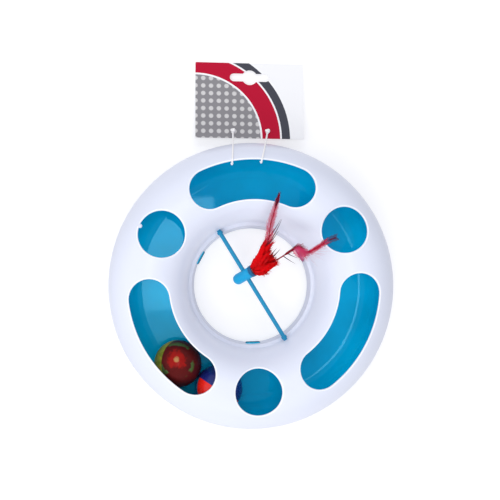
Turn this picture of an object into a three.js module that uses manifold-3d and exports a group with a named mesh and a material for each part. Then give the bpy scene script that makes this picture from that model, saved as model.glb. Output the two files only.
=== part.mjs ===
// Cat disc toy: a domed ring over a ball track, with a feather teaser on a bar across the
// centre hole and a header card on two ties. Millimetres, +Z up, the floor at z = 0.
import * as THREE from "three";
import { mergeVertices } from "three/addons/utils/BufferGeometryUtils.js";
import Module from "manifold-3d";

const wasm = await Module();
wasm.setup();

// Balls and their track
const ballDiameter = 41;
const ballWall = 1.5;
const ballSeamGap = 0.2;
const ballSpacing = 0.4;
const rattleDiameter = 8;
const trackRadius = 94;
const firstBallAngle = 224.4;

// Tray
const padDrop = 1.5;
const trayWall = 2.4;
const creaseOffset = 3;
const troughClearance = 2;
const rimFlange = 2;
const rimThickness = 2.2;
const rimRise = 1.7;
const hookCount = 3;
const firstHookAngle = 30;
const hookWidth = 13;
const hookThickness = 2.5;
const hookHeight = 6.8;
const hookProud = 1.2;

// Foot pads
const padCount = 6;
const firstPadAngle = 30;
const padInset = 9;
const padDiameter = 10;
const padSeatDepth = 1.2;

// Cover
const coverWall = 2.4;
const headroom = 2.4;
const skirtClearance = 1.7;
const skirtLift = 3;
const skirtTuck = 2.8;
const beltHeight = 21;
const crownInset = 2;
const ribWidth = 3.2;
const ribThickness = 2;
const collarRadius = 50.6;
const collarLift = 3;
const collarRise = 9;
const collarFlare = 4;
const ledgeWidth = 1.6;
const ledgeRise = 0.8;
const crownReach = 22;
const throatLean = 2.8;
const throatPull = 25;

// Openings in the cover
const openingCount = 3;
const patternRadius = 90.4;
const slotWidth = 34;
const slotHalfAngle = 24.1;
const firstSlotAngle = 90;
const holeDiameter = 39.6;
const firstHoleAngle = 30;
const openingDepth = 14;

// Axle bar and its sockets
const axleDiameter = 3.7;
const axleHeight = 16;
const axleAngle = -60;
const axleCollarDiameter = 5;
const axleCollarWidth = 2.4;
const axleCollarInset = 1;
const socketDepth = 4.5;
const socketWall = 2;
const socketFloor = 1.5;

// Hub, clamp ring and plug
const hubDiameter = 9.8;
const hubTail = 13.5;
const hubMouth = 6;
const hubOffset = -10.7;
const hubTilt = 35;
const plugDiameter = 5.8;
const plugSeat = 3.6;
const clampDiameter = 10.8;
const clampWidth = 3.2;
const quillDiameter = 1.4;
const quillSeat = 4.6;
const quillSpacing = 2.8;

// Feathers
const tuftLength = 29;
const tuftWidth = 15;
const tuftFlatness = 0.7;
const tuftLean = -5;
const vaneThickness = 1;

// Header card and ties
const cardWidth = 98;
const cardLength = 70;
const cardThickness = 0.6;
const cardCornerRadius = 0.8;
const cardCentreX = 3;
const cardHingeY = 137.8;
const cardHingeHeight = 10;
const cardYaw = -1.8;
const tieHoleSpacing = 31.2;
const tieHoleInset = 6.2;
const tieHoleDiameter = 2.4;
const hangSlotWidth = 36;
const hangSlotHeight = 7.5;
const hangSlotRound = 14;
const hangSlotRise = 56.6;
const tieDiameter = 1.6;
const knotDiameter = 4;
const stopKnotDiameter = 2.8;

// Clearance between pieces that touch or run in each other
const fitGap = 0.3;

// Facet counts
const ringSegments = 64;
const ballSegments = 20;
const smallSegments = 20;

// Sizes that follow from those above
const ballRadius = ballDiameter / 2;
const floorTop = padDrop + trayWall;
const ballHeight = floorTop + fitGap + ballRadius;
const troughRadius = ballRadius + troughClearance;
const troughHeight = floorTop + Math.sqrt(troughRadius ** 2 - creaseOffset ** 2);
const creaseRadius = trackRadius + creaseOffset;
const padCircleRadius = trackRadius - padInset;
const trayRimRadius = trackRadius + troughRadius + trayWall + rimFlange;
const rimTop = troughHeight + rimRise;
const discRadius = trayRimRadius + skirtClearance + coverWall;
const crownRadius = trackRadius - crownInset;
const crownHeight = floorTop + fitGap + ballDiameter + headroom + coverWall;
const collarTop = collarLift + collarRise;
const ledgeRadius = collarRadius + collarFlare;
const funnelRadius = ledgeRadius + ledgeWidth;
const socketRadius = axleDiameter / 2 + fitGap;
const bossRadius = socketRadius + socketWall;
const trayBore = funnelRadius + coverWall + 2 * fitGap;
const axleReach = funnelRadius + socketDepth;
const plugEnd = hubMouth + fitGap + clampWidth;
const plugBottom = plugSeat + fitGap;
const cardDrop = cardHingeHeight - knotDiameter / 2 - cardThickness - 2 * fitGap;
const cardTilt = Math.asin(cardDrop / (cardLength - tieHoleInset));

const radians = THREE.MathUtils.degToRad;

function finish(color, roughness, metalness = 0) {
  return new THREE.MeshStandardMaterial({ color, roughness, metalness });
}

const whitePlastic = finish(0xe6e9f2, 0.35);
const trayBlue = finish(0x0a90c8, 0.28);
const hubBlue = finish(0x2aa5d5, 0.35);
const clampBlue = finish(0x0f6f9e, 0.4);
const ivoryPlastic = finish(0xd8d2c4, 0.5);
const softGrey = finish(0x8d9aa3, 0.8);
const steel = finish(0xc9ccd0, 0.3, 1);
const maroonPlastic = finish(0x5a1a24, 0.3);
const redPlastic = finish(0xc8202a, 0.35);
const redFeather = finish(0xd81018, 0.8);
const printedCard = finish(0xe4e4e6, 0.5);
const whiteCord = finish(0xf1f1ee, 0.8);

// Closed triangle mesh with shared corners and no collapsed triangles
function weld(geometry) {
  const bare = geometry.clone();
  bare.deleteAttribute("normal");
  bare.deleteAttribute("uv");
  const merged = mergeVertices(bare, 1e-4);
  const corners = merged.index.array;
  const kept = [];
  for (let i = 0; i < corners.length; i += 3) {
    const [a, b, c] = corners.slice(i, i + 3);
    if (a !== b && b !== c && c !== a) kept.push(a, b, c);
  }
  merged.setIndex(kept);
  return merged;
}

function toSolid(geometry) {
  const welded = weld(geometry);
  const vertProperties = new Float32Array(welded.attributes.position.array);
  const triVerts = new Uint32Array(welded.index.array);
  return new wasm.Manifold(new wasm.Mesh({ numProp: 3, vertProperties, triVerts }));
}

function toGeometry(solid) {
  const mesh = solid.getMesh();
  const geometry = new THREE.BufferGeometry();
  geometry.setAttribute("position", new THREE.BufferAttribute(mesh.vertProperties, 3));
  geometry.setIndex(new THREE.BufferAttribute(mesh.triVerts, 1));
  return geometry;
}

function cut(geometry, cutters) {
  let solid = toSolid(geometry);
  for (const cutter of cutters) solid = solid.subtract(toSolid(cutter));
  return toGeometry(solid);
}

function join(geometry, additions) {
  let solid = toSolid(geometry);
  for (const addition of additions) solid = solid.add(toSolid(addition));
  return toGeometry(solid);
}

function part(name, geometry, material) {
  const mesh = new THREE.Mesh(weld(geometry), material);
  mesh.name = name;
  return mesh;
}

// A ring or solid of revolution about Z; the outline runs counterclockwise in radius and height
function turned(outline, segments) {
  const points = outline.map(([r, z]) => new THREE.Vector2(r, z));
  return new THREE.LatheGeometry(points, segments).rotateX(Math.PI / 2);
}

// A round rod along Z between two heights
function rod(radius, bottom, top, segments = smallSegments) {
  return turned([[0, bottom], [radius, bottom], [radius, top], [0, top]], segments);
}

function polar(radius, degrees, z = 0) {
  const angle = radians(degrees);
  return new THREE.Vector3(radius * Math.cos(angle), radius * Math.sin(angle), z);
}

function arcPoints(centre, radius, fromDegrees, toDegrees, steps) {
  const points = [];
  for (let i = 0; i <= steps; i += 1) {
    const angle = radians(fromDegrees + ((toDegrees - fromDegrees) * i) / steps);
    points.push([centre[0] + radius[0] * Math.cos(angle), centre[1] + radius[1] * Math.sin(angle)]);
  }
  return points;
}

// The open outline moved sideways by a wall thickness, to the left of its direction of travel
function offsetOutline(outline, distance) {
  const points = outline.map(([r, z]) => new THREE.Vector2(r, z));
  const normals = [];
  for (let i = 0; i + 1 < points.length; i += 1) {
    const along = points[i + 1].clone().sub(points[i]).normalize();
    normals.push(new THREE.Vector2(-along.y, along.x));
  }
  return points.map((point, i) => {
    const before = normals[Math.max(i - 1, 0)];
    const after = normals[Math.min(i, normals.length - 1)];
    const mitre = before.clone().add(after).normalize();
    const moved = point.clone().addScaledVector(mitre, distance / mitre.dot(after));
    return [moved.x, moved.y];
  });
}

// The cover's upper surface from the foot of the skirt over the crown to the foot of the collar
function coverOutline() {
  const belt = [crownRadius, beltHeight];
  const reach = discRadius - crownRadius;
  const skirtFoot = [discRadius - skirtTuck, skirtLift];
  const skirtMiddle = [discRadius - skirtTuck / 4, (skirtLift + beltHeight) / 2];
  const dome = arcPoints(belt, [reach, crownHeight - beltHeight], 0, 90, 8);
  const funnel = new THREE.CubicBezierCurve(
    new THREE.Vector2(crownRadius, crownHeight),
    new THREE.Vector2(crownRadius - crownReach, crownHeight),
    new THREE.Vector2(funnelRadius + throatLean, collarTop + ledgeRise + throatPull),
    new THREE.Vector2(funnelRadius, collarTop + ledgeRise),
  );
  const slope = funnel.getPoints(9).slice(1).map((p) => [p.x, p.y]);
  return [skirtFoot, skirtMiddle, ...dome, ...slope, [ledgeRadius, collarTop], [collarRadius, collarLift]];
}

function openingCutter(shape, degrees) {
  const geometry = new THREE.ExtrudeGeometry(shape, {
    depth: crownHeight,
    bevelEnabled: false,
    curveSegments: 12,
  });
  return geometry.translate(0, 0, crownHeight - openingDepth).rotateZ(radians(degrees));
}

function slotShape() {
  const half = radians(slotHalfAngle);
  const end = polar(patternRadius, slotHalfAngle);
  const shape = new THREE.Shape();
  shape.absarc(0, 0, patternRadius + slotWidth / 2, -half, half, false);
  shape.absarc(end.x, end.y, slotWidth / 2, half, half + Math.PI, false);
  shape.absarc(0, 0, patternRadius - slotWidth / 2, half, -half, true);
  shape.absarc(end.x, -end.y, slotWidth / 2, Math.PI - half, 2 * Math.PI - half, false);
  return shape;
}

function holeShape() {
  const shape = new THREE.Shape();
  shape.absarc(patternRadius, 0, holeDiameter / 2, 0, 2 * Math.PI, false);
  return shape;
}

// A bar along the radius at a hook's place, from one radius to another
function hookBar(fromRadius, toRadius, margin, degrees) {
  const width = hookWidth + 2 * margin;
  const bar = new THREE.BoxGeometry(toRadius - fromRadius, width, hookThickness + 2 * margin);
  return bar.translate((fromRadius + toRadius) / 2, 0, hookHeight).rotateZ(radians(degrees));
}

function hookAngles() {
  return Array.from({ length: hookCount }, (_, i) => firstHookAngle + (360 * i) / hookCount);
}

// A rod along the axle's line at one of its two ends
function alongAxle(radius, fromReach, toReach, side) {
  const geometry = rod(radius, fromReach, toReach).rotateY((side * Math.PI) / 2);
  return geometry.rotateZ(radians(axleAngle)).translate(0, 0, axleHeight);
}

// The moulded wall of the cover, with flat feet under the skirt and the collar
function coverShell() {
  const outer = coverOutline();
  const inner = offsetOutline(outer, coverWall);
  inner[0][1] = skirtLift;
  inner[inner.length - 1][1] = collarLift;
  return turned([...outer, ...inner.reverse(), outer[0]], ringSegments);
}

function makeCover() {
  const shell = coverShell();

  const ribOuter = discRadius - coverWall - fitGap;
  const ribBottom = rimTop + fitGap;
  const rib = turned([
    [ribOuter - ribWidth, ribBottom],
    [ribOuter, ribBottom],
    [ribOuter, ribBottom + ribThickness],
    [ribOuter - ribWidth, ribBottom + ribThickness],
    [ribOuter - ribWidth, ribBottom],
  ], ringSegments);

  const bossTip = axleReach + fitGap + socketFloor;
  const bosses = [1, -1].map((side) => alongAxle(bossRadius, funnelRadius + coverWall / 2, bossTip, side));
  const sockets = [1, -1].map((side) => alongAxle(socketRadius, ledgeRadius, axleReach + fitGap, side));

  const cutters = [];
  for (let i = 0; i < openingCount; i += 1) {
    const turn = (360 * i) / openingCount;
    cutters.push(openingCutter(slotShape(), firstSlotAngle + turn));
    cutters.push(openingCutter(holeShape(), firstHoleAngle + turn));
  }
  const windows = hookAngles().map((degrees) => {
    return hookBar(collarRadius - coverWall, funnelRadius + coverWall, fitGap, degrees);
  });
  const body = join(shell, [rib, ...bosses]);
  return part("top_cover", cut(body, [...cutters, ...windows, ...sockets]), whitePlastic);
}

function padPlaces() {
  return Array.from({ length: padCount }, (_, i) => {
    return polar(padCircleRadius, firstPadAngle + (360 * i) / padCount);
  });
}

function makeTray() {
  const wallTop = axleHeight - bossRadius - 2 * fitGap;
  const troughStart = -90 + THREE.MathUtils.radToDeg(Math.asin(creaseOffset / troughRadius));
  const centre = [trackRadius, troughHeight];
  const underRadius = troughRadius + trayWall;
  const under = arcPoints(centre, [underRadius, underRadius], troughStart, 0, 7).slice(1);
  const trough = arcPoints(centre, [troughRadius, troughRadius], 0, troughStart, 8);
  const rimBottom = rimTop - rimThickness;
  const rise = under.filter(([, z]) => z < rimBottom);
  const outline = [
    [trayBore, padDrop],
    [creaseRadius, padDrop],
    ...rise,
    [trackRadius + underRadius, rimBottom],
    [trayRimRadius, rimBottom],
    [trayRimRadius, rimTop],
    [trackRadius + troughRadius, rimTop],
    ...trough,
    [trayBore + trayWall, floorTop],
    [trayBore + trayWall, wallTop],
    [trayBore, wallTop],
    [trayBore, padDrop],
  ];
  const hookTip = collarRadius + (collarFlare * (hookHeight - collarLift)) / collarRise - hookProud;
  const hooks = hookAngles().map((degrees) => hookBar(hookTip, trayBore + trayWall / 2, 0, degrees));
  const seatRadius = padDiameter / 2 + fitGap;
  const seats = padPlaces().map((place) => {
    return rod(seatRadius, 0, padDrop + padSeatDepth).translate(place.x, place.y, 0);
  });
  const ring = join(turned(outline, ringSegments), hooks);
  return part("track_tray", cut(ring, seats), trayBlue);
}

function makePads() {
  return padPlaces().map((place, i) => {
    const geometry = rod(padDiameter / 2, 0, padDrop + padSeatDepth - fitGap);
    const pad = part(`foot_pad_${i + 1}`, geometry, softGrey);
    pad.position.copy(place);
    return pad;
  });
}

// Half of a hollow ball, open on its flat side, which faces down
function halfShell() {
  const start = ballSeamGap / 2;
  const inside = ballRadius - ballWall;
  const steps = 7;
  const startOut = THREE.MathUtils.radToDeg(Math.asin(start / ballRadius));
  const startIn = THREE.MathUtils.radToDeg(Math.asin(start / inside));
  const outer = arcPoints([0, 0], [ballRadius, ballRadius], startOut, 90, steps);
  const inner = arcPoints([0, 0], [inside, inside], 90, startIn, steps);
  outer[steps][0] = 0;
  inner[0][0] = 0;
  return turned([...outer, ...inner, outer[0]], ballSegments);
}

function makeBall(name, material, degrees) {
  const ball = new THREE.Group();
  ball.position.copy(polar(trackRadius, degrees, ballHeight));
  ball.rotation.z = radians(degrees);
  const halves = [
    ["left", Math.PI / 2],
    ["right", -Math.PI / 2],
  ];
  for (const [side, turn] of halves) {
    const half = part(`${name}_shell_${side}`, halfShell(), material);
    half.rotation.x = turn;
    ball.add(half);
  }
  const rattleRadius = rattleDiameter / 2;
  const rattle = part(`${name}_rattle`, new THREE.SphereGeometry(rattleRadius, 12, 8), steel);
  rattle.position.z = rattleRadius + fitGap - (ballRadius - ballWall);
  ball.add(rattle);
  return ball;
}

function makeAxle() {
  const r = axleDiameter / 2;
  const collar = axleCollarDiameter / 2;
  const collarEnd = ledgeRadius + ledgeWidth - axleCollarInset;
  const half = [
    [collar, collarEnd - axleCollarWidth],
    [collar, collarEnd],
    [r, collarEnd],
    [r, axleReach],
    [0, axleReach],
  ];
  const mirrored = half.map(([radius, reach]) => [radius, -reach]).reverse();
  const outline = [
    ...mirrored,
    [r, axleCollarWidth - collarEnd],
    [r, collarEnd - axleCollarWidth],
    ...half,
  ];
  return part("axle_bar", turned(outline, smallSegments).rotateY(Math.PI / 2), hubBlue);
}

// The hub's own axis is Y, with the feathers at +Y and the bar through it along X
function aboutHubAxis(outline) {
  return turned(outline, smallSegments).rotateX(-Math.PI / 2);
}

function makeHub() {
  const r = hubDiameter / 2;
  const bore = plugDiameter / 2 + fitGap;
  const tail = arcPoints([0, r - hubTail], [r, r], -90, 0, 6);
  tail[0][0] = 0;
  const outline = [
    ...tail,
    [r, hubMouth],
    [bore, hubMouth],
    [bore, plugSeat],
    [0, plugSeat],
  ];
  const axleBore = rod(axleDiameter / 2 + fitGap, -hubDiameter, hubDiameter).rotateY(Math.PI / 2);
  return part("swivel_hub", cut(aboutHubAxis(outline), [axleBore]), hubBlue);
}

function makeClampRing() {
  const bore = plugDiameter / 2 + fitGap;
  const bottom = hubMouth + fitGap;
  const outline = [
    [bore, bottom],
    [clampDiameter / 2, bottom],
    [clampDiameter / 2, bottom + clampWidth],
    [bore, bottom + clampWidth],
    [bore, bottom],
  ];
  return part("clamp_ring", aboutHubAxis(outline), clampBlue);
}

function makePlug() {
  const r = plugDiameter / 2;
  const outline = [[0, plugBottom], [r, plugBottom], [r, plugEnd], [0, plugEnd]];
  const seats = [-1, 1].map((side) => {
    const seat = aboutHubAxis([
      [0, plugEnd - quillSeat],
      [quillDiameter / 2 + fitGap, plugEnd - quillSeat],
      [quillDiameter / 2 + fitGap, plugEnd + 1],
      [0, plugEnd + 1],
    ]);
    return seat.translate((side * quillSpacing) / 2, 0, 0);
  });
  return part("quill_plug", cut(aboutHubAxis(outline), seats), ivoryPlastic);
}

// A closed skin through rings of points, with a point at each end
function skin(rings, startPoint, endPoint) {
  const count = rings[0].length;
  const points = [startPoint, ...rings.flat(), endPoint];
  const last = points.length - 1;
  const faces = [];
  const at = (ring, i) => 1 + ring * count + (i % count);
  for (let i = 0; i < count; i += 1) {
    faces.push(0, at(0, i + 1), at(0, i));
    for (let ring = 0; ring + 1 < rings.length; ring += 1) {
      faces.push(at(ring, i), at(ring, i + 1), at(ring + 1, i));
      faces.push(at(ring, i + 1), at(ring + 1, i + 1), at(ring + 1, i));
    }
    faces.push(at(rings.length - 1, i), at(rings.length - 1, i + 1), last);
  }
  const geometry = new THREE.BufferGeometry().setFromPoints(points);
  geometry.setIndex(faces);
  return geometry;
}

// Flat-oval rings along a curve; size(t) gives the half width and half thickness
function ovalSkin(curve, steps, sides, size) {
  const up = new THREE.Vector3(0, 0, 1);
  const rings = [];
  for (let step = 0; step <= steps; step += 1) {
    const t = step / steps;
    const along = curve.getTangentAt(t);
    const across = new THREE.Vector3().crossVectors(up, along).normalize();
    const lift = new THREE.Vector3().crossVectors(along, across);
    const ring = [];
    for (let side = 0; side < sides; side += 1) {
      const angle = (2 * Math.PI * side) / sides;
      const [wide, thick] = size(t, angle);
      const point = curve.getPointAt(t);
      point.addScaledVector(across, wide * Math.cos(angle));
      ring.push(point.addScaledVector(lift, thick * Math.sin(angle)));
    }
    rings.push(ring);
  }
  return skin(rings, curve.getPointAt(0), curve.getPointAt(1));
}

// A feather's course from its seat in the plug, over points given as sideways, along and up
function featherCurve(side, course) {
  const x = (side * quillSpacing) / 2;
  const root = new THREE.Vector3(x, plugEnd - quillSeat + fitGap, 0);
  const neck = new THREE.Vector3(x, plugEnd + 1, 0);
  return new THREE.CatmullRomCurve3([root, neck, ...course.map((p) => new THREE.Vector3(...p))]);
}

const leftCourse = [
  [-12, 33.5, 2.2],
  [-25.5, 48.5, 4.5],
  [-36, 60.5, 4],
  [-45.5, 70.5, 1],
];
const rightCourse = [
  [3, 36, 2.5],
  [2.8, 55, 4.8],
  [7.8, 67, 4.4],
  [9, 80, 3],
  [11, 93, 0],
];

function makeFeather(name, curve, vaneWidth, vaneStart) {
  const quill = quillDiameter / 2;
  const geometry = ovalSkin(curve, 26, 8, (t) => {
    const s = Math.max(0, (t - vaneStart) / (1 - vaneStart));
    const swell = Math.sin(Math.PI * s ** 0.75);
    const taper = 1 - 0.75 * s;
    return [
      quill * taper + swell * (vaneWidth / 2 - quill),
      quill * taper + swell * (vaneThickness / 2 - quill / 2),
    ];
  });
  return part(name, geometry, redFeather);
}

function makeTuft(quills) {
  const start = plugEnd + fitGap;
  const curve = new THREE.QuadraticBezierCurve3(
    new THREE.Vector3(0, start, 0),
    new THREE.Vector3(0, start + tuftLength / 2, 0),
    new THREE.Vector3(tuftLean, start + tuftLength, 0),
  );
  const base = plugDiameter / 2;
  const geometry = ovalSkin(curve, 10, 20, (t, angle) => {
    const swell = Math.sin(Math.PI * t ** 0.8);
    const lobes = 1 + 0.14 * t * Math.sin(5 * angle + 7 * t);
    const radius = (base * (1 - t) + 0.8 * t + swell * (tuftWidth / 2 - base)) * lobes;
    return [radius, radius * tuftFlatness];
  });
  const channels = quills.map((quill) => {
    const channel = quillDiameter / 2 + fitGap;
    return ovalSkin(quill, 26, 8, () => [channel, channel]);
  });
  return part("feather_tuft", cut(geometry, channels), redFeather);
}

// The bar and what it carries; X runs along the bar and the hub tilts up from Y
function makeSpinner() {
  const spinner = new THREE.Group();
  spinner.position.z = axleHeight;
  spinner.rotation.z = radians(axleAngle);
  spinner.add(makeAxle());

  const head = new THREE.Group();
  head.position.x = hubOffset;
  head.rotation.x = radians(hubTilt);
  const leftQuill = featherCurve(-1, leftCourse);
  const rightQuill = featherCurve(1, rightCourse);
  head.add(makeHub(), makeClampRing(), makePlug());
  head.add(makeTuft([leftQuill, rightQuill]));
  head.add(makeFeather("feather_left", leftQuill, 6.5, 0.46));
  head.add(makeFeather("feather_right", rightQuill, 9, 0.42));
  spinner.add(head);
  return spinner;
}

// Slot for a shop hook: a long slot with a round bay in its middle
function hangSlot(y) {
  const r = hangSlotHeight / 2;
  const bay = hangSlotRound / 2;
  const straight = hangSlotWidth / 2 - r;
  const meet = Math.asin(r / bay);
  const path = new THREE.Path();
  path.absarc(straight, y, r, -Math.PI / 2, Math.PI / 2, false);
  path.absarc(0, y, bay, meet, Math.PI - meet, false);
  path.absarc(-straight, y, r, Math.PI / 2, 1.5 * Math.PI, false);
  path.absarc(0, y, bay, Math.PI + meet, 2 * Math.PI - meet, false);
  path.closePath();
  return path;
}

function cardShape() {
  const x = cardWidth / 2;
  const bottom = -tieHoleInset;
  const top = cardLength - tieHoleInset;
  const r = cardCornerRadius;
  const shape = new THREE.Shape();
  shape.absarc(x - r, bottom + r, r, -Math.PI / 2, 0, false);
  shape.absarc(x - r, top - r, r, 0, Math.PI / 2, false);
  shape.absarc(r - x, top - r, r, Math.PI / 2, Math.PI, false);
  shape.absarc(r - x, bottom + r, r, Math.PI, 1.5 * Math.PI, false);
  shape.holes.push(hangSlot(bottom + hangSlotRise));
  for (const side of [-1, 1]) {
    const hole = new THREE.Path();
    hole.absarc((side * tieHoleSpacing) / 2, 0, tieHoleDiameter / 2, 0, 2 * Math.PI, true);
    shape.holes.push(hole);
  }
  return shape;
}

// The card turns about the line through its two knots
function makeCard() {
  const place = new THREE.Group();
  place.position.set(cardCentreX, cardHingeY, cardHingeHeight);
  place.rotation.z = radians(cardYaw);
  const flap = new THREE.Group();
  flap.rotation.x = -cardTilt;
  place.add(flap);

  const board = new THREE.ExtrudeGeometry(cardShape(), {
    depth: cardThickness,
    bevelEnabled: false,
    curveSegments: 8,
  });
  board.translate(0, 0, -knotDiameter / 2 - fitGap - cardThickness);
  flap.add(part("header_card", board, printedCard));

  for (const [name, side] of [["knot_left", -1], ["knot_right", 1]]) {
    const knot = part(name, new THREE.SphereGeometry(knotDiameter / 2, 12, 8), whiteCord);
    knot.position.x = (side * tieHoleSpacing) / 2;
    flap.add(knot);
  }
  return place;
}

// Routes of the two ties from the stop knot at the slot's edge, over the cover, to the card
const leftTie = [
  [-17.0, 104.1, 45.6],
  [-17.0, 104.6, 46.9],
  [-16.9, 106.6, 47.7],
  [-16.4, 111.0, 45.5],
  [-15.8, 115.8, 41.8],
  [-15.2, 120.0, 37.1],
  [-14.9, 121.9, 34.4],
  [-13.9, 128.7, 24.2],
  [-12.8, 136.9, 12.1],
];
const rightTie = [
  [8.1, 105.2, 45.6],
  [8.2, 105.7, 46.9],
  [8.6, 107.6, 47.7],
  [9.9, 111.8, 45.5],
  [11.4, 116.3, 41.8],
  [12.7, 120.3, 37.1],
  [13.3, 122.1, 34.4],
  [15.6, 128.6, 24.2],
  [18.1, 136.0, 12.1],
];

function makeTie(name, route) {
  const curve = new THREE.CatmullRomCurve3(route.map((p) => new THREE.Vector3(...p)));
  const section = new THREE.Shape();
  section.absarc(0, 0, tieDiameter / 2, 0, 2 * Math.PI, false);
  const geometry = new THREE.ExtrudeGeometry(section, {
    steps: 24,
    curveSegments: 4,
    extrudePath: curve,
  });
  return part(name, geometry, whiteCord);
}

function makeStopKnot(name, route) {
  const radius = stopKnotDiameter / 2;
  const knot = part(name, new THREE.SphereGeometry(radius, 12, 8), whiteCord);
  const [x, y, z] = route[0];
  knot.position.set(x, y, z - radius - fitGap);
  return knot;
}

const secondBallAngle = firstBallAngle
  + THREE.MathUtils.radToDeg(2 * Math.asin((ballDiameter + ballSpacing) / (2 * trackRadius)));

const toy = new THREE.Group();
toy.add(makeCover(), makeTray(), ...makePads());
toy.add(makeBall("ball_a", maroonPlastic, firstBallAngle));
toy.add(makeBall("ball_b", redPlastic, secondBallAngle));
toy.add(makeSpinner());
toy.add(makeCard());
toy.add(makeTie("tie_left", leftTie), makeStopKnot("stop_knot_left", leftTie));
toy.add(makeTie("tie_right", rightTie), makeStopKnot("stop_knot_right", rightTie));

export default toy;
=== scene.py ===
"""Looks of the cat disc toy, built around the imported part. Laid out as an add-on and run as a script."""
import math
import random

import bmesh
import bpy
from mathutils import Matrix, Vector
from mathutils.geometry import delaunay_2d_cdt


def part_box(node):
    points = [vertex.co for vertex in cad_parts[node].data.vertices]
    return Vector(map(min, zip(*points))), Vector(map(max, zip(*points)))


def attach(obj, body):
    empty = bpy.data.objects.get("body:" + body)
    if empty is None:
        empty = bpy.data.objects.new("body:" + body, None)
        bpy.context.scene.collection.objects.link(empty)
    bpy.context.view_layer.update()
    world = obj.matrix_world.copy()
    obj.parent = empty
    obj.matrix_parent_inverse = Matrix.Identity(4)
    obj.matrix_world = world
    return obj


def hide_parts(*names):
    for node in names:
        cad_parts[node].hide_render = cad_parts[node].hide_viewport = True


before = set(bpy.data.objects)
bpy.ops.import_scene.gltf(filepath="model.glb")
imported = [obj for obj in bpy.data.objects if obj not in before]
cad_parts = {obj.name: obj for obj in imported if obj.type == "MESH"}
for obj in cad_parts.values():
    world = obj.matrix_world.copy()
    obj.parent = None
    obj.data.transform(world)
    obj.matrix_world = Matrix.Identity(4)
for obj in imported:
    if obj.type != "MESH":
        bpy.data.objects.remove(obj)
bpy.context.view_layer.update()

bl_info = {
    "name": "Cat disc toy",
    "version": (1, 0, 0),
    "blender": (4, 5, 0),
    "location": "3D View > Sidebar > Disc toy",
    "description": "Domed ball track with a feather teaser and a header card, dressed on its packed solids",
    "category": "Object",
}

MM = 0.001
WELD = 1e-6
SHARP_ANGLE = 40  # a sharper edge isn't smoothed over
ALONG_X = Matrix.Rotation(math.pi / 2, 4, "Y")
ALONG_Y = Matrix.Rotation(-math.pi / 2, 4, "X")
BOTH = (-1, 1)
SOFT_TURN = math.radians(24)  # a lesser corner isn't rounded
EDGE_SHARE = 0.45  # what a rounding may take up of an edge
# Steps round the ring, the balls, the small turned pieces and the rods
RING_STEPS, BALL_STEPS, TURNED_STEPS, ROD_STEPS = 240, 72, 48, 32

# Millimetres and degrees. Most repeat the part's own, and the finer edges are the dressed pieces'.
# A profile's points are a radius and a height.
COVER_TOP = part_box("top_cover")[1] / MM
DISC_RADIUS = COVER_TOP.x
CROWN_HEIGHT = COVER_TOP.z
CROWN_RADIUS = 92.0
BELT_HEIGHT = 21.0
SKIRT_TUCK = 2.8
SKIRT_ROUNDING = 0.9
FOOT_HEIGHT = 3.0
FUNNEL = ((92.0, 50.0), (70.0, 50.0), (59.0, 37.8), (56.2, 12.8))
LEDGE = (55.2, 12.0)
COLLAR_TOP = (53.0, 11.8)
COLLAR_FOOT = (50.6, 3.0)
COLLAR_ROUNDING = (0.4, 0.7)  # above the windows, below them
RIB = (119.1, 28.2, 30.2)  # radius, bottom, top
PATTERN_RADIUS = 90.4
SLOT_HALF_ANGLE = 24.1
SLOT_ANGLES = (90, 210, 330)
HOLE_ANGLES = HOOK_ANGLES = (30, 150, 270)
WINDOW = (5.25, 8.35)  # bottom, top
WINDOW_HALF_STEPS = 5
PLAIN_BAND = (66.0, 114.0)  # the openings lie between these radii
NET_SPACING = 2.4
NET_MARGIN = 0.6  # share of the spacing kept free round a lip
CHORD_DIP = (0.9995, 0.995)  # how far chords dip inside the inner circle and the lips
LIP_STEPS = 6
LIP_FOOT = 0.3
NUB = (1.8, 1.3, 0.9, 0.8)  # radius, rise, root, how deep it sits
NUB_PLACE = (19.2, 157)  # from the left hole's centre

TRACK_RADIUS = 94.0
TRAY_FLOOR = (1.5, 3.9)  # under side, upper side
TRAY_BORE = 59.2
TRAY_WALL = 2.4
TROUGH_CENTRE = (94.0, 26.2)
TROUGH_RADIUS = 22.5
CREASE_OFFSET = 3.0
CREASE_EASE = 0.8
RIM = (120.9, 25.7, 27.9)  # radius, bottom, top
INNER_WALL_TOP = 15.8
TRAY_ROUNDING = 0.6
HOOK = (50.0, 60.4, 13.0, 2.5, 6.8)  # tip, root, width, thickness, height
HOOK_BEVEL = 1.2
# Within this radius the hooks' ends take a darker blue as painted shade.
HOOK_SHADE_RADIUS = 52.5
NOTCH = (0.6, 2.0)  # room round a socket, and past its ends
PAD_CIRCLE = 85.0
PAD_ANGLES = range(30, 360, 60)
PAD_SEAT = (5.3, -1.0, 2.7)  # radius, start, end
PAD_ROUNDING = 0.5

BALL_LOW, BALL_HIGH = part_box("ball_a_shell_left")
BALL_DIAMETER = (BALL_HIGH.z - BALL_LOW.z) / MM
SEAM_GAP = 0.02
SEAM_STEP = 0.06
SEAM_DIP = 0.9999  # share of the radius
# Ways from the balls' centres at rest: the marbled one's pool and cap, the wedge one's pole and first edge
POOL_WAY = Vector((-0.06, 0.27, 0.957)).normalized()
CAP_WAY = Vector((0.643, 0.07, 0.763)).normalized()
POLE_WAY = Vector((-0.80, 0.53, 0.28)).normalized()
EDGE_WAY = Vector((-0.885, -0.226, 0.41))

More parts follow.
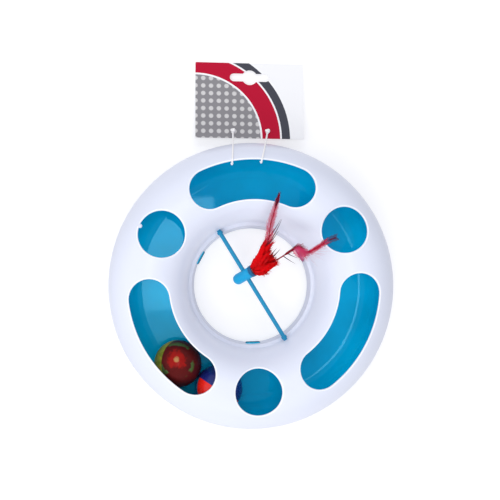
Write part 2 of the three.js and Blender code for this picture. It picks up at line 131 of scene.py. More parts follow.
AXLE_HEIGHT = 16.0
AXLE_ANGLE = -60.0
AXLE_REACH = 60.7
AXLE_ROUNDING = 0.4
AXLE_COLLAR = (2.5, 52.8, 55.2)  # radius, start, end
BOSS = (4.15, 57.4, 62.5)  # radius, start, end
HUB_OFFSET = -10.7
HUB_TILT = 35.0
HUB_SPAN = (-13.5, 6.0)
HUB_RADIUS = 4.9
HUB_ROUNDING = 0.5
TUNNEL = (0.3, 9.0)  # room round the bar, half length
CLAMP_SPAN = (6.3, 9.5)
CLAMP_RADIUS = 5.4
PLUG_BORE = (3.2, 3.6)  # radius, seat

# Courses in the hub's own frame
LEFT_COURSE = (
    (-1.4, 5.2, 0), (-1.4, 10.5, 0), (-12, 33.5, 2.2), (-25.5, 48.5, 4.5), (-36, 60.5, 4), (-45.5, 70.5, 1),
)
RIGHT_COURSE = (
    (1.4, 5.2, 0), (1.4, 10.5, 0), (2.2, 36, 2.2), (1.6, 50, 3.6), (1.6, 60, 5), (8.8, 65, 4.8),
    (10.2, 74, 4), (9.9, 86, 2.2), (11, 93, 0),
)
FOLD_OUTLINE = (
    (2.4, 53.6, 4.8), (0.6, 61.3, 5.8), (3.1, 63.6, 5.9), (6.7, 66.8, 5.8), (10.3, 67.0, 5.5),
    (12.4, 61.0, 4.9), (13.7, 56.9, 4.4), (10.3, 55.8, 4.6), (6.6, 54.2, 4.7),
)
FOLD_HEART = (
    (1.8, 58.0, 5.6), (2.6, 62.4, 6.0), (6.6, 65.2, 6.0), (9.6, 64.4, 5.7), (11.0, 60.0, 5.1),
    (7.4, 57.0, 5.2),
)
LEFT_HAIRS = (
    ((-12.5, 36.0, 2.6), (-18.2, 52.0, 3.5)), ((-17.0, 39.0, 2.8), (-25.8, 59.9, 4.0)),
    ((-13.0, 37.0, 2.6), (-25.5, 61.0, 4.0)), ((-3.5, 31.0, 2.0), (-6.6, 41.8, 3.0)),
    ((-1.5, 33.0, 2.0), (-4.5, 44.5, 3.0)),
)
RIGHT_HAIRS = (((2.0, 43.0, 2.8), (13.6, 48.9, 2.0)), ((1.8, 48.0, 3.4), (9.9, 53.8, 3.0)))
TUFT_ROOT = 9.8
TUFT_FEATHERS = 64
TUFT_HAIRS = 110
TUFT_REACH = 7.6  # clear of the collar with the hub at the end of the bar
TUFT_CORES = (  # end, swell
    ((-14.0, 35.5, 2.0), 2.3), ((-4.0, 27.0, 1.4), 3.4), ((2.5, 31.0, 1.2), 4.2), ((5.0, 20.0, 0.0), 3.2),
)
TUFT_TIPS = (
    (-16.5, 38.5, 2.6), (-13.0, 38.5, 2.4), (-13.0, 33.0, 2.2), (-7.5, 34.5, 2.4), (-3.0, 34.0, 2.2),
    (4.6, 34.5, 1.8), (1.0, 32.0, 2.0), (7.5, 21.5, 0.5),
)

CARD_HINGE = (3.0, 137.8, 10.0)
CARD_YAW = -1.8
CARD_TILT = -6.1
CARD_SINK = 2.3
CARD_CORNER = 0.8
TIE_HOLE_SPACING = 31.2
TIE_HOLE_INSET = 6.2
TIE_HOLE_RADIUS = 1.2
HANG_SLOT = (36.0, 7.5, 14.0, 56.6)  # width, height, bay, rise over the lower edge
CORD_PLIES = 3
CORD_LAY = 2.2  # from one ply to the next along the cord
CORD_RELIEF = 0.06  # share of the radius
STOP_KNOT = (2.8, 1.1)  # diameter, cord
CARD_KNOT = (5.2, 2.4)
LEFT_TIE = (
    (-17.0, 104.1, 45.6), (-17.0, 104.6, 46.9), (-16.9, 106.6, 47.7), (-16.4, 111.0, 45.5),
    (-15.8, 115.8, 41.8), (-15.2, 120.0, 37.1), (-14.9, 121.9, 34.4), (-13.9, 128.7, 24.2),
    (-12.8, 136.9, 12.1),
)
RIGHT_TIE = (
    (8.1, 105.2, 45.6), (8.2, 105.7, 46.9), (8.6, 107.6, 47.7), (9.9, 111.8, 45.5), (11.4, 116.3, 41.8),
    (12.7, 120.3, 37.1), (13.3, 122.1, 34.4), (15.6, 128.6, 24.2), (18.1, 136.0, 12.1),
)

# The photograph's camera: place in millimetres, its own axes and its lens
CAMERA_PLACE = (-74.81, 5.66, 775.0)
CAMERA_BACK = (-0.09679, -0.03320, 0.99475)
CAMERA_UP = (0.02553, 0.99903, 0.03583)
CAMERA_LENS = 62.18
SENSOR_WIDTH = 36.0
STUDIO_COLOUR, STUDIO_GLOW = "#EDEFFA", 0.62
FLOOR_HALF = 4000.0
FLOOR_DROP = 0.2


def linear(code):
    """An sRGB hex colour as linear red, green, blue and alpha."""
    channels = [int(code[i : i + 2], 16) / 255 for i in (1, 3, 5)]
    return tuple(c / 12.92 if c <= 0.04045 else ((c + 0.055) / 1.055) ** 2.4 for c in channels) + (1.0,)


def add(tree, kind, inputs=None, **settings):
    """Adds a node. An input is a value, or a node and the name of its output."""
    node = tree.nodes.new(kind)
    for name, value in settings.items():
        setattr(node, name, value)
    for socket, source in (inputs or {}).items():
        if isinstance(source, tuple) and isinstance(source[0], bpy.types.Node):
            tree.links.new(source[0].outputs[source[1]], node.inputs[socket])
        else:
            node.inputs[socket].default_value = source
    return node


def new_material(name):
    material = bpy.data.materials.new(name)
    material.use_nodes = True
    material.node_tree.nodes.clear()
    return material, material.node_tree


def ramp_stops(node, stops, interpolation="LINEAR"):
    """Sets a colour ramp's stops, each a place and a hex or linear colour."""
    ramp = node.color_ramp
    ramp.interpolation = interpolation
    while len(ramp.elements) < len(stops):
        ramp.elements.new(1.0)
    for element, (place, colour) in zip(ramp.elements, stops):
        element.position = place
        element.color = linear(colour) if isinstance(colour, str) else colour


def size_setting(label, note, size):
    return bpy.props.FloatProperty(
        name=label, description=note, default=size * MM, unit="LENGTH", precision=5
    )


def colour_setting(label, note, code):
    return bpy.props.FloatVectorProperty(
        name=label, description=note, subtype="COLOR", size=4, default=linear(code)
    )


class DiscToySizes(bpy.types.PropertyGroup):
    """Sizes of the dressed pieces"""

    cover_wall: size_setting("Cover wall", "Thickness of the moulded cover", 2.4)
    lip_radius: size_setting("Lip radius", "Rounding of the openings' edges", 1.3)
    slot_width: size_setting("Slot width", "Width of the three kidney slots", 34)
    hole_diameter: size_setting("Hole diameter", "Diameter of the round holes", 39.6)
    ball_diameter: size_setting("Ball diameter", "Diameter of the two track balls", BALL_DIAMETER)
    ball_wall: size_setting("Ball wall", "Thickness of a ball's shell", 1.5)
    axle_diameter: size_setting("Axle diameter", "Diameter of the bar", 3.7)
    barb_width: size_setting("Barb width", "Width of a feather's barbs", 0.2)
    cord_diameter: size_setting("Cord diameter", "Diameter of the two ties", 1.6)
    card_width: size_setting("Card width", "Width of the header card", 98)
    card_length: size_setting("Card length", "Height of the header card", 70)
    card_thickness: size_setting("Card thickness", "Thickness of the board", 0.6)


class DiscToyColours(bpy.types.PropertyGroup):
    """Colours of the dressed pieces"""

    cover: colour_setting("Cover", "White of the cover", "#E3E7F3")
    # The lips' whiter white is a painted highlight: a bright rim that stands in for light caught on the
    # openings' edges.
    lip: colour_setting("Lips", "White of the openings' edges", "#F8FAFF")
    # The collar's greyer white is painted shade, standing in for the shade on its inner wall.
    collar: colour_setting("Collar", "Greyer white of the collar, painted shade", "#D4D8E5")
    tray: colour_setting("Tray", "Blue of the track tray", "#00C4F0")
    # The hooks' darker blue is painted shade, for their ends sitting in the shade of the collar's windows.
    hook: colour_setting("Hooks", "Blue of the snap hooks' ends", "#0A6C8C")
    bar: colour_setting("Bar", "Blue of the bar", "#088EBA")
    hub: colour_setting("Hub", "Blue of the hub", "#06A0D4")
    clamp: colour_setting("Clamp ring", "Blue of the clamp ring", "#12608C")
    plug: colour_setting("Plug", "Ivory of the quill plug", "#D8D2C4")
    feather: colour_setting("Feathers", "Dye of the feathers", "#DE060E")
    vane: colour_setting("Vanes", "Dye of the long feathers", "#DB2A4E")
    web: colour_setting("Webs", "Dye of the feathers' thin webs", "#D63A66")
    quill: colour_setting("Quills", "Dye of the quills", "#8E0F22")
    tip: colour_setting("Left tip", "Dye of the left feather's thin tip", "#7C1238")
    end: colour_setting("Right tip", "Dye of the right feather's dark tip", "#50102E")
    hair: colour_setting("Hairs", "Dark of the single long barbs", "#4C2A38")
    cord: colour_setting("Ties", "White of the ties", "#FCFAF8")
    card: colour_setting("Card", "White of the board", "#F4F4F4")
    floor: colour_setting("Floor", "White of the floor", "#C8C8CA")


# Materials

def drifting(tree, colour, size, detail, deep, low, high):
    """A colour that is deep, a share of itself, below a noise's low stop and plain above its high one."""
    place = add(tree, "ShaderNodeTexCoord")
    patches = add(tree, "ShaderNodeTexNoise", {
        "Vector": (place, "Object"), "Scale": 1 / (size * MM), "Detail": detail,
    })
    tone = add(tree, "ShaderNodeValToRGB", {"Fac": (patches, "Fac")})
    ramp_stops(tone, ((low, [c * deep for c in colour[:3]] + [1.0]), (high, colour)))
    return (tone, "Color")


def finish_off(tree, base, shader, grain=None, gloss=None, bump=None):
    """Ends a material, with a fine grain in its gloss and its relief.

    grain: its size in millimetres and its detail. gloss: range of roughness. bump: strength and millimetres.
    """
    inputs = {"Base Color": base, **shader}
    if grain:
        size, detail = grain
        place = add(tree, "ShaderNodeTexCoord")
        fine = add(tree, "ShaderNodeTexNoise", {
            "Vector": (place, "Object"), "Scale": 1 / (size * MM), "Detail": detail,
        })
    if gloss:
        low, high = gloss
        spread = add(tree, "ShaderNodeMapRange", {"Value": (fine, "Fac"), "To Min": low, "To Max": high})
        inputs["Roughness"] = (spread, "Result")
    if bump:
        strength, depth = bump
        relief = add(tree, "ShaderNodeBump", {
            "Height": (fine, "Fac"), "Strength": strength, "Distance": depth * MM,
        })
        inputs["Normal"] = (relief, "Normal")
    whole = add(tree, "ShaderNodeBsdfPrincipled", inputs)
    add(tree, "ShaderNodeOutputMaterial", {"Surface": (whole, "BSDF")})


def surface(name, colour, patches, shader, **fine):
    """A finish that drifts a little in colour under the fine grain of finish_off.

    patches: their size in millimetres and detail, how deep they get, and their noise's low and high stop.
    """
    material, tree = new_material(name)
    finish_off(tree, drifting(tree, colour, *patches), shader, **fine)
    return material


def white_abs(name, colour):
    # Injection-moulded ABS from a polished tool: an even cool white under a soft gloss, a shade deeper in
    # drifts some centimetres long, with a fine orange peel of about 2 mm.
    return surface(
        name, colour, (45, 1.0, 0.96, 0.1, 0.9), {"IOR": 1.53, "Specular IOR Level": 0.35},
        grain=(2, 1.0), gloss=(0.26, 0.34), bump=(0.05, 0.02),
    )


def blue_styrene(colour):
    # High-gloss polystyrene moulding: deep saturated blue with mirror-like reflections, fine scuffs
    # from the balls along the track and flow marks a few centimetres long.
    return surface(
        "moulded_blue_polystyrene", colour, (30, 3.0, 0.86, 0.3, 0.7),
        {"IOR": 1.57, "Specular IOR Level": 0.3, "Specular Tint": linear("#98E8FF")},
        grain=(2.5, 4.0), gloss=(0.02, 0.05), bump=(0.02, 0.05),
    )


def satin_polypropylene(name, colour):
    # Satin polypropylene moulding: softer highlights than the tray and a fine spark-eroded grain, drawn
    # at 0.8 mm because the real 0.05 mm grain is too fine to show.
    return surface(
        name, colour, (0.8, 2.0, 0.93, 0.3, 0.7), {"IOR": 1.49},
        grain=(0.8, 2.0), gloss=(0.3, 0.42), bump=(0.08, 0.05),
    )


def dyed_feather(name, colour, roughness, cover=1.0):
    # Dyed feather: matt keratin with a silky sheen, the dye a little deeper in some barbs than in others
    # in patches about 3 mm long. Thin webs let part of the light through.
    return surface(name, colour, (3, 2.0, 0.82, 0.3, 0.65), {
        "Roughness": roughness, "IOR": 1.54, "Sheen Weight": 0.05, "Sheen Roughness": 0.4,
        "Specular IOR Level": 0.08, "Alpha": cover,
    })


def cotton_cord(colour):
    # Twisted cotton cord: soft matt white with fibres that break up the light, drawn at 0.4 mm because
    # the real 0.02 mm fibres are too fine to show.
    return surface(
        "twisted_cotton_cord", colour, (0.4, 3.0, 0.9, 0.3, 0.6), {"Roughness": 0.85, "Sheen Weight": 0.3},
        grain=(0.4, 3.0), bump=(0.3, 0.1),
    )


def bright_steel():
    # Tumbled steel bead: bright metal with random scratches that blur its reflections, drawn at 1 mm to show.
    material, tree = new_material("tumbled_steel")
    finish_off(tree, linear("#C9CCD0"), {"Metallic": 1.0}, grain=(1.0, 4.0), gloss=(0.2, 0.4))
    return material


def lit_paper(colour):
    # Matt white paper with a light behind it: its own glow keeps it near white and the toy's shadow faint.
    # Its fibres lie a little cloudy in patches of about 4 mm.
    return surface("matt_white_paper", colour, (4, 3.0, 0.985, 0.3, 0.7), {
        "Roughness": 0.9, "Specular IOR Level": 0.1,
        "Emission Color": linear("#FFFFFF"), "Emission Strength": 0.5,
    })


def soft_foam():
    # Die-cut EVA foam: matt grey with fine closed cells, drawn at 0.6 mm to show.
    material, tree = new_material("grey_eva_foam")
    place = add(tree, "ShaderNodeTexCoord")
    cells = add(tree, "ShaderNodeTexVoronoi", {"Vector": (place, "Object"), "Scale": 1 / (0.6 * MM)})
    tone = add(tree, "ShaderNodeValToRGB", {"Fac": (cells, "Distance")})
    ramp_stops(tone, ((0.0, "#7C8890"), (0.7, "#98A4AC")))
    bump = add(tree, "ShaderNodeBump", {"Height": (cells, "Distance"), "Strength": 0.3, "Distance": 0.1 * MM})
    finish_off(tree, (tone, "Color"), {"Roughness": 0.9, "Normal": (bump, "Normal")})
    return material


def marbled_styrene(pool, cap, radius):
    # Two-shot marbled polystyrene: a dark maroon cap with a red pool, a pale fleck and green swirls in it,
    # over an olive ball streaked with ochre, all under a thin gloss. The swirls are about 8 mm long, and the
    # green ones break off every 14 mm or so.
    material, tree = new_material("marbled_maroon_polystyrene")
    place = add(tree, "ShaderNodeTexCoord")
    swirl = add(tree, "ShaderNodeTexNoise", {
        "Vector": (place, "Object"), "Scale": 1 / (8 * MM), "Detail": 3.0, "Distortion": 1.2,
    })
    wobble = add(tree, "ShaderNodeMapRange", {"Value": (swirl, "Fac"), "To Min": -0.14, "To Max": 0.14})
    from_pool = add(tree, "ShaderNodeVectorMath", {
        0: (place, "Object"), 1: pool / radius,
    }, operation="DOT_PRODUCT")
    ring = add(tree, "ShaderNodeMath", {0: (from_pool, "Value"), 1: (wobble, "Result")}, operation="ADD")
    maroon = (0.0, "#45151A")
    red_pool = ((0.90, "#5A1817"), (0.94, "#901815"), (1.0, "#9C1C17"))
    tone = add(tree, "ShaderNodeValToRGB", {"Fac": (ring, "Value")})
    ramp_stops(tone, (
        maroon, (0.60, "#4E161A"), (0.66, "#4A5228"), (0.76, "#466236"), (0.80, "#4C1517"), *red_pool,
    ))
    plain = add(tree, "ShaderNodeValToRGB", {"Fac": (ring, "Value")})
    ramp_stops(plain, (maroon, *red_pool))
    streak = add(tree, "ShaderNodeTexNoise", {
        "Vector": (place, "Object"), "Scale": 1 / (14 * MM), "Detail": 1.5,
    })
    gaps = add(tree, "ShaderNodeValToRGB", {"Fac": (streak, "Fac")})
    ramp_stops(gaps, ((0.46, "#000000"), (0.52, "#FFFFFF")))
    broken = add(tree, "ShaderNodeMix", {
        "Factor": (gaps, "Color"), "A": (plain, "Color"), "B": (tone, "Color"),
    }, data_type="RGBA")
    ripple = add(tree, "ShaderNodeMapRange", {"Value": (swirl, "Fac"), "To Min": -0.012, "To Max": 0.012})
    core = add(tree, "ShaderNodeMath", {0: (from_pool, "Value"), 1: (ripple, "Result")}, operation="ADD")
    fleck = add(tree, "ShaderNodeMapRange", {"Value": (core, "Value"), "From Min": 0.988, "From Max": 0.995})
    flecked = add(tree, "ShaderNodeMix", {
        "Factor": (fleck, "Result"), "A": (broken, 2), "B": linear("#B08050"),
    }, data_type="RGBA")
    olive = add(tree, "ShaderNodeValToRGB", {"Fac": (swirl, "Fac")})
    ramp_stops(olive, ((0.35, "#6E7A24"), (0.55, "#8E9430"), (0.65, "#B07A2C")))
    from_cap = add(tree, "ShaderNodeVectorMath", {
        0: (place, "Object"), 1: cap / radius,
    }, operation="DOT_PRODUCT")
    inside = add(tree, "ShaderNodeMapRange", {
        "Value": (from_cap, "Value"), "From Min": 0.10, "From Max": 0.14,
    })
    mix = add(tree, "ShaderNodeMix", {
        "Factor": (inside, "Result"), "A": (olive, "Color"), "B": (flecked, 2),
    }, data_type="RGBA")
    finish_off(tree, (mix, 2), {"Roughness": 0.22, "IOR": 1.57, "Specular IOR Level": 0.06})
    return material


def wedge_styrene(pole, start):
    # Painted polystyrene ball: four flat wedges of colour that meet at two poles, with a soft satin gloss
    # that is uneven over about 5 mm.
    material, tree = new_material("painted_wedge_polystyrene")
    across = (start - pole * start.dot(pole)).normalized()
    turn = Matrix((across, pole.cross(across), pole)).to_euler()
    place = add(tree, "ShaderNodeTexCoord")
    turned = add(tree, "ShaderNodeMapping", {"Vector": (place, "Object"), "Rotation": turn})
    angle = add(tree, "ShaderNodeTexGradient", {"Vector": (turned, "Vector")}, gradient_type="RADIAL")
    wedges = add(tree, "ShaderNodeValToRGB", {"Fac": (angle, "Fac")})
    ramp_stops(wedges, (
        (0.0, "#2A1E70"), (0.25, "#0C6E98"), (0.5, "#F4261A"), (0.70, "#182672"),
    ), "CONSTANT")
    finish_off(tree, (wedges, "Color"), {"IOR": 1.57}, grain=(5, 3.0), gloss=(0.2, 0.34))
    return material


def coated_card(white, corner):
    # Offset-printed board with a gloss varnish: flat rings of ink about one corner of the white board,
    # crimson and charcoal round a grey field with pale dots 4 mm across, and a fine paper tooth under it.
    # The rings' stops are shares of a 100 mm radius.
    material, tree = new_material("printed_coated_board")
    place = add(tree, "ShaderNodeTexCoord")
    dots = add(tree, "ShaderNodeTexVoronoi", {
        "Vector": (place, "Object"), "Scale": 1 / (7 * MM), "Randomness": 0.0,
    }, voronoi_dimensions="2D")
    field = add(tree, "ShaderNodeValToRGB", {"Fac": (dots, "Distance")})
    ramp_stops(field, ((0.0, "#D2D0CE"), (0.28, "#CAC8C6"), (0.31, "#8B898B")))
    reach = add(tree, "ShaderNodeVectorMath", {0: (place, "Object"), 1: corner}, operation="DISTANCE")
    share = add(tree, "ShaderNodeMath", {0: (reach, "Value"), 1: 100 * MM}, operation="DIVIDE")
    rings = add(tree, "ShaderNodeValToRGB", {"Fac": (share, "Value")})
    ramp_stops(rings, (
        (0.0, white), (0.60, "#B80A30"), (0.76, white), (0.775, "#45464F"), (0.85, white),
    ), "CONSTANT")
    inner = add(tree, "ShaderNodeMath", {0: (share, "Value"), 1: 0.585}, operation="LESS_THAN")
    print_mix = add(tree, "ShaderNodeMix", {
        "Factor": (inner, "Value"), "A": (rings, "Color"), "B": (field, "Color"),
    }, data_type="RGBA")
    finish_off(
        tree, (print_mix, 2), {"IOR": 1.5, "Specular IOR Level": 0.2},
        grain=(1.2, 3.0), gloss=(0.3, 0.42), bump=(0.05, 0.05),
    )
    return material


# Shapes, in millimetres

def welded(name, points, faces, lips=()):
    """A mesh in metres with its doubled points joined. The faces in lips take the second material."""
    mesh = bpy.data.meshes.new(name)
    mesh.from_pydata([Vector(p) * MM for p in points], [], faces)
    for i in lips:
        mesh.polygons[i].material_index = 1
    weld = bmesh.new()
    weld.from_mesh(mesh)
    bmesh.ops.remove_doubles(weld, verts=weld.verts, dist=WELD)
    bmesh.ops.dissolve_degenerate(weld, edges=weld.edges, dist=WELD)
    bmesh.ops.recalc_face_normals(weld, faces=weld.faces)
    weld.to_mesh(mesh)
    weld.free()
    return mesh


def piece(
    name, points, faces, finish, body, slot, nodes, place=Matrix.Identity(4), sharp=SHARP_ANGLE, lips=()
):
    """A mesh put in its place on its body, in the stead of its CAD nodes."""
    mesh = welded(name, points, faces, lips)
    mesh.shade_smooth()
    mesh.set_sharp_from_angle(angle=math.radians(sharp))
    mesh.materials.append(finish)
    obj = bpy.data.objects.new(name, mesh)
    obj.matrix_world = place
    bpy.context.scene.collection.objects.link(obj)
    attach(obj, body)
    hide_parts(*nodes)
    return obj


def refinish_inside(obj, radius, finish):
    """Gives a piece's faces within a radius of the middle another material."""
    obj.data.materials.append(finish)
    for face in obj.data.polygons:
        if math.hypot(face.center.x, face.center.y) < radius * MM:
            face.material_index = len(obj.data.materials) - 1


def middle_of(*nodes):
    """The middle of the box round CAD nodes, in metres."""
    lows, highs = zip(*map(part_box, nodes))
    return Vector(map(min, zip(*lows))) / 2 + Vector(map(max, zip(*highs))) / 2


def polar(radius, degrees, z=0.0):
    angle = math.radians(degrees)
    return Vector((radius * math.cos(angle), radius * math.sin(angle), z))


def merge(parts):
    """Several sets of points and faces as one."""
    points, faces = [], []
    for more_points, more_faces in parts:
        start = len(points)
        points.extend(more_points)
        faces.extend([tuple(i + start for i in face) for face in more_faces])
    return points, faces


def moved(part, matrix):
    points, faces = part
    return [matrix @ Vector(p) for p in points], faces


def rounded(outline, radius, steps=4, closed=False):
    """The outline with its sharp corners turned into arcs."""
    count = len(outline)
    result = []
    for i, corner in enumerate(map(Vector, outline)):
        before = Vector(outline[i - 1]) - corner
        after = Vector(outline[(i + 1) % count]) - corner
        loose = not closed and i in (0, count - 1)
        turn = math.pi - before.angle(after, math.pi)
        if loose or turn < SOFT_TURN:
            result.append(tuple(corner))
            continue
        reach = min(radius * math.tan(turn / 2), EDGE_SHARE * before.length, EDGE_SHARE * after.length)
        start = corner + before.normalized() * reach
        end = corner + after.normalized() * reach
        for k in range(steps + 1):
            u = k / steps
            result.append(tuple((1 - u) ** 2 * start + 2 * u * (1 - u) * corner + u * u * end))
    return result


def grid(rows, columns, round_rows=False, round_columns=True, keep=None):
    """Faces between rows of points. keep(row, column) may leave one out."""
    faces = []
    for row in range(rows if round_rows else rows - 1):
        a, b = row * columns, (row + 1) % rows * columns
        for i in range(columns if round_columns else columns - 1):
            j = (i + 1) % columns
            if keep is None or keep(row, i):
                faces.append((a + i, a + j, b + j, b + i))
    return faces


def lathe(outline, steps, closed=False, keep=None):
    """An outline of radius and height turned about Z. keep(row, step) may leave a face out."""
    points = [polar(r, 360 * i / steps, z) for r, z in outline for i in range(steps)]
    return points, grid(len(outline), steps, closed, keep=keep)


def smooth_course(points, steps):
    """Points along a smooth curve through the given ones."""
    points = [Vector(p) for p in points]
    padded = [2 * points[0] - points[1], *points, 2 * points[-1] - points[-2]]
    course = []
    for i in range(1, len(padded) - 2):
        a, b, c, d = padded[i - 1 : i + 3]
        for k in range(steps):
            t = k / steps
            course.append(0.5 * (2 * b + (c - a) * t + (2 * a - 5 * b + 4 * c - d) * t ** 2
                                 + (3 * b - a - 3 * c + d) * t ** 3))
    course.append(points[-1])
    return course


def sweep(course, size, sides, closed=False):
    """A tube along a course. size(share, angle) gives its radius there."""
    count = len(course)
    points = []
    for i, point in enumerate(course):
        ahead, behind = (i + 1) % count, i - 1
        if not closed:
            ahead, behind = min(i + 1, count - 1), max(i - 1, 0)
        along = (course[ahead] - course[behind]).normalized()
        if i == 0:
            across = along.orthogonal().normalized()
        across = (across - along * across.dot(along)).normalized()
        lift = along.cross(across)
        for side in range(sides):
            angle = 2 * math.pi * side / sides
            radius = size(i / (count - 1), angle)
            points.append(point + (across * math.cos(angle) + lift * math.sin(angle)) * radius)
    faces = grid(count, sides, closed)
    if not closed:
        faces += [tuple(reversed(range(sides))), tuple(range((count - 1) * sides, count * sides))]
    return points, faces


def block(low, high, bevel):
    """A box with its edges rounded off."""
    shape = bmesh.new()
    bmesh.ops.create_cube(shape, size=1.0)
    for vertex in shape.verts:
        vertex.co = Vector(l + (h - l) * (c + 0.5) for l, h, c in zip(low, high, vertex.co))
    bmesh.ops.bevel(shape, geom=shape.edges[:], offset=bevel, segments=3, profile=0.5, affect="EDGES")
    shape.verts.index_update()
    points = [v.co.copy() for v in shape.verts]
    faces = [tuple(v.index for v in f.verts) for f in shape.faces]
    shape.free()
    return points, faces


def carve(obj, part):
    """Cuts a closed shape out of a piece."""
    mesh = welded("cutter", *part)
    cutter = bpy.data.objects.new("cutter", mesh)
    cutter.matrix_world = obj.matrix_world
    bpy.context.scene.collection.objects.link(cutter)
    step = obj.modifiers.new("carve", "BOOLEAN")
    step.operation = "DIFFERENCE"
    step.solver = "EXACT"
    step.object = cutter
    shaped = bpy.data.meshes.new_from_object(obj.evaluated_get(bpy.context.evaluated_depsgraph_get()))
    obj.modifiers.remove(step)
    old, obj.data = obj.data, shaped
    bpy.data.meshes.remove(old)
    bpy.data.objects.remove(cutter)
    bpy.data.meshes.remove(mesh)
    shaped.shade_smooth()
    shaped.set_sharp_from_angle(angle=math.radians(SHARP_ANGLE))


def closed_loops(rings):
    """The flat points of several closed rings, and the edges round each."""
    points, edges = [], []
    for ring in rings:
        start, count = len(points), len(ring)
        points.extend(Vector((p.x, p.y)) for p in ring)
        edges.extend((start + i, start + (i + 1) % count) for i in range(count))
    return points, edges


def rod(radius, start, end):
    """A closed rod along Z."""
    return lathe([(0, start), (radius, start), (radius, end), (0, end)], ROD_STEPS)


# Cover

def funnel_point(t):
    a, b, c, d = (Vector(p) for p in FUNNEL)
    return (1 - t) ** 3 * a + 3 * (1 - t) ** 2 * t * b + 3 * (1 - t) * t * t * c + t ** 3 * d


def funnel_share(radius):
    """Where on the funnel's curve it has this radius."""
    low, high, halvings = 0.0, 1.0, 40
    for _ in range(halvings):
        middle = (low + high) / 2
        if funnel_point(middle).x > radius:
            low = middle
        else:
            high = middle
    return low


def dome_point(degrees):
    angle = math.radians(degrees)
    return Vector((
        CROWN_RADIUS + (DISC_RADIUS - CROWN_RADIUS) * math.cos(angle),
        BELT_HEIGHT + (CROWN_HEIGHT - BELT_HEIGHT) * math.sin(angle),
    ))


def top_height(radius):
    """Height of the cover's upper surface."""
    if radius < CROWN_RADIUS:
        return funnel_point(funnel_share(radius)).y
    share = (radius - CROWN_RADIUS) / (DISC_RADIUS - CROWN_RADIUS)
    return BELT_HEIGHT + (CROWN_HEIGHT - BELT_HEIGHT) * math.sqrt(1 - share * share)


def inward(curve, at, wall, step):
    """A point of the surface under a curve, a wall's thickness to the left of its course."""
    along = (curve(at + step) - curve(at - step)).normalized()
    return curve(at) + Vector((-along.y, along.x)) * wall


def under_curve(wall):
    """The cover's under surface from the belt over the crown to the foot of the funnel."""
    steps = 40
    dome = [inward(dome_point, 90 * i / steps, wall, step=0.5) for i in range(steps + 1)]
    funnel = [inward(funnel_point, i / steps, wall, step=0.01) for i in range(1, steps + 1)]
    return [tuple(p) for p in dome + funnel]


def under_height(curve, radius):
    for (r0, z0), (r1, z1) in zip(curve, curve[1:]):
        if r1 <= radius <= r0:
            return z0 + (z1 - z0) * (r0 - radius) / max(r0 - r1, WELD)
    raise ValueError(f"no under surface at radius {radius}")


def opening_edges(sizes):
    """Each opening as its half width and pairs of a point on its middle line and the way to its edge."""
    arcs, ends, turns = 34, 22, 64
    openings = []
    for middle in SLOT_ANGLES:
        pairs = []
        for side in (1, -1):
            for i in range(arcs):
                angle = middle - side * SLOT_HALF_ANGLE + side * 2 * SLOT_HALF_ANGLE * i / arcs
                pairs.append((polar(PATTERN_RADIUS, angle), polar(side, angle)))
            end = middle + side * SLOT_HALF_ANGLE
            for i in range(ends):
                pairs.append((polar(PATTERN_RADIUS, end), polar(side, end + 180 * i / ends)))
        openings.append((sizes.slot_width / MM / 2, pairs))
    for middle in HOLE_ANGLES:
        pairs = [(polar(PATTERN_RADIUS, middle), polar(1, 360 * i / turns)) for i in range(turns)]
        openings.append((sizes.hole_diameter / MM / 2, pairs))
    return openings


def clear_of_openings(x, y, sizes, margin):
    point = Vector((x, y, 0.0))
    angle = math.degrees(math.atan2(y, x))
    for middle in SLOT_ANGLES:
        away = (angle - middle + 180) % 360 - 180
        nearest = polar(PATTERN_RADIUS, middle + max(-SLOT_HALF_ANGLE, min(SLOT_HALF_ANGLE, away)))
        if (point - nearest).length < sizes.slot_width / MM / 2 + margin:
            return False
    for middle in HOLE_ANGLES:
        if (point - polar(PATTERN_RADIUS, middle)).length < sizes.hole_diameter / MM / 2 + margin:
            return False
    return True


def pierced_band(sizes, wall, lip):
    """The part of the cover that holds the openings, upper and under surface, with rounded lips."""
    inner, outer = PLAIN_BAND
    openings = opening_edges(sizes)
    rings = [[polar(radius, 360 * i / RING_STEPS) for i in range(RING_STEPS)] for radius in PLAIN_BAND]
    rings += [[p + way * (half + lip) for p, way in pairs] for half, pairs in openings]
    points, edges = closed_loops(rings)
    rows = int((outer - inner) / NET_SPACING)
    for row in range(1, rows):
        radius = inner + (outer - inner) * row / rows
        count = int(2 * math.pi * radius / NET_SPACING)
        for i in range(count):
            p = polar(radius, 360 * (i + 0.5 * (row % 2)) / count)
            if clear_of_openings(p.x, p.y, sizes, lip + NET_MARGIN * NET_SPACING):
                points.append(Vector((p.x, p.y)))
    flat, _, triangles, *_ = delaunay_2d_cdt(points, edges, [], 0, WELD)
    ring_dip, lip_dip = CHORD_DIP
    kept = []
    for triangle in triangles:
        x = sum(flat[i].x for i in triangle) / 3
        y = sum(flat[i].y for i in triangle) / 3
        if inner * ring_dip < math.hypot(x, y) < outer and clear_of_openings(x, y, sizes, lip * lip_dip):
            kept.append(tuple(triangle))
    under = under_curve(wall)
    top = [(p.x, p.y, top_height(p.length)) for p in flat]
    bottom = [(p.x, p.y, under_height(under, p.length)) for p in flat]
    parts = [(top, kept), (bottom, [tuple(reversed(t)) for t in kept])]
    bends = [math.pi / 2 * k / LIP_STEPS for k in range(LIP_STEPS + 1)]
    for half, pairs in openings:

        def ring(reach, height):
            edge = [p + way * (half + reach) for p, way in pairs]
            return [Vector((p.x, p.y, height(p.length))) for p in edge]

        rings = [
            ring(lip * (1 - math.sin(b)), lambda r: top_height(r) - lip * (1 - math.cos(b))) for b in bends
        ]
        for reach, rise in ((0.0, LIP_FOOT), (LIP_FOOT, 0.0), (lip, 0.0)):
            rings.append(ring(reach, lambda r: under_height(under, r) + rise))
        parts.append((sum(rings, []), grid(len(rings), len(pairs))))
    points, faces = merge(parts)
    return points, faces, range(2 * len(kept), len(faces))


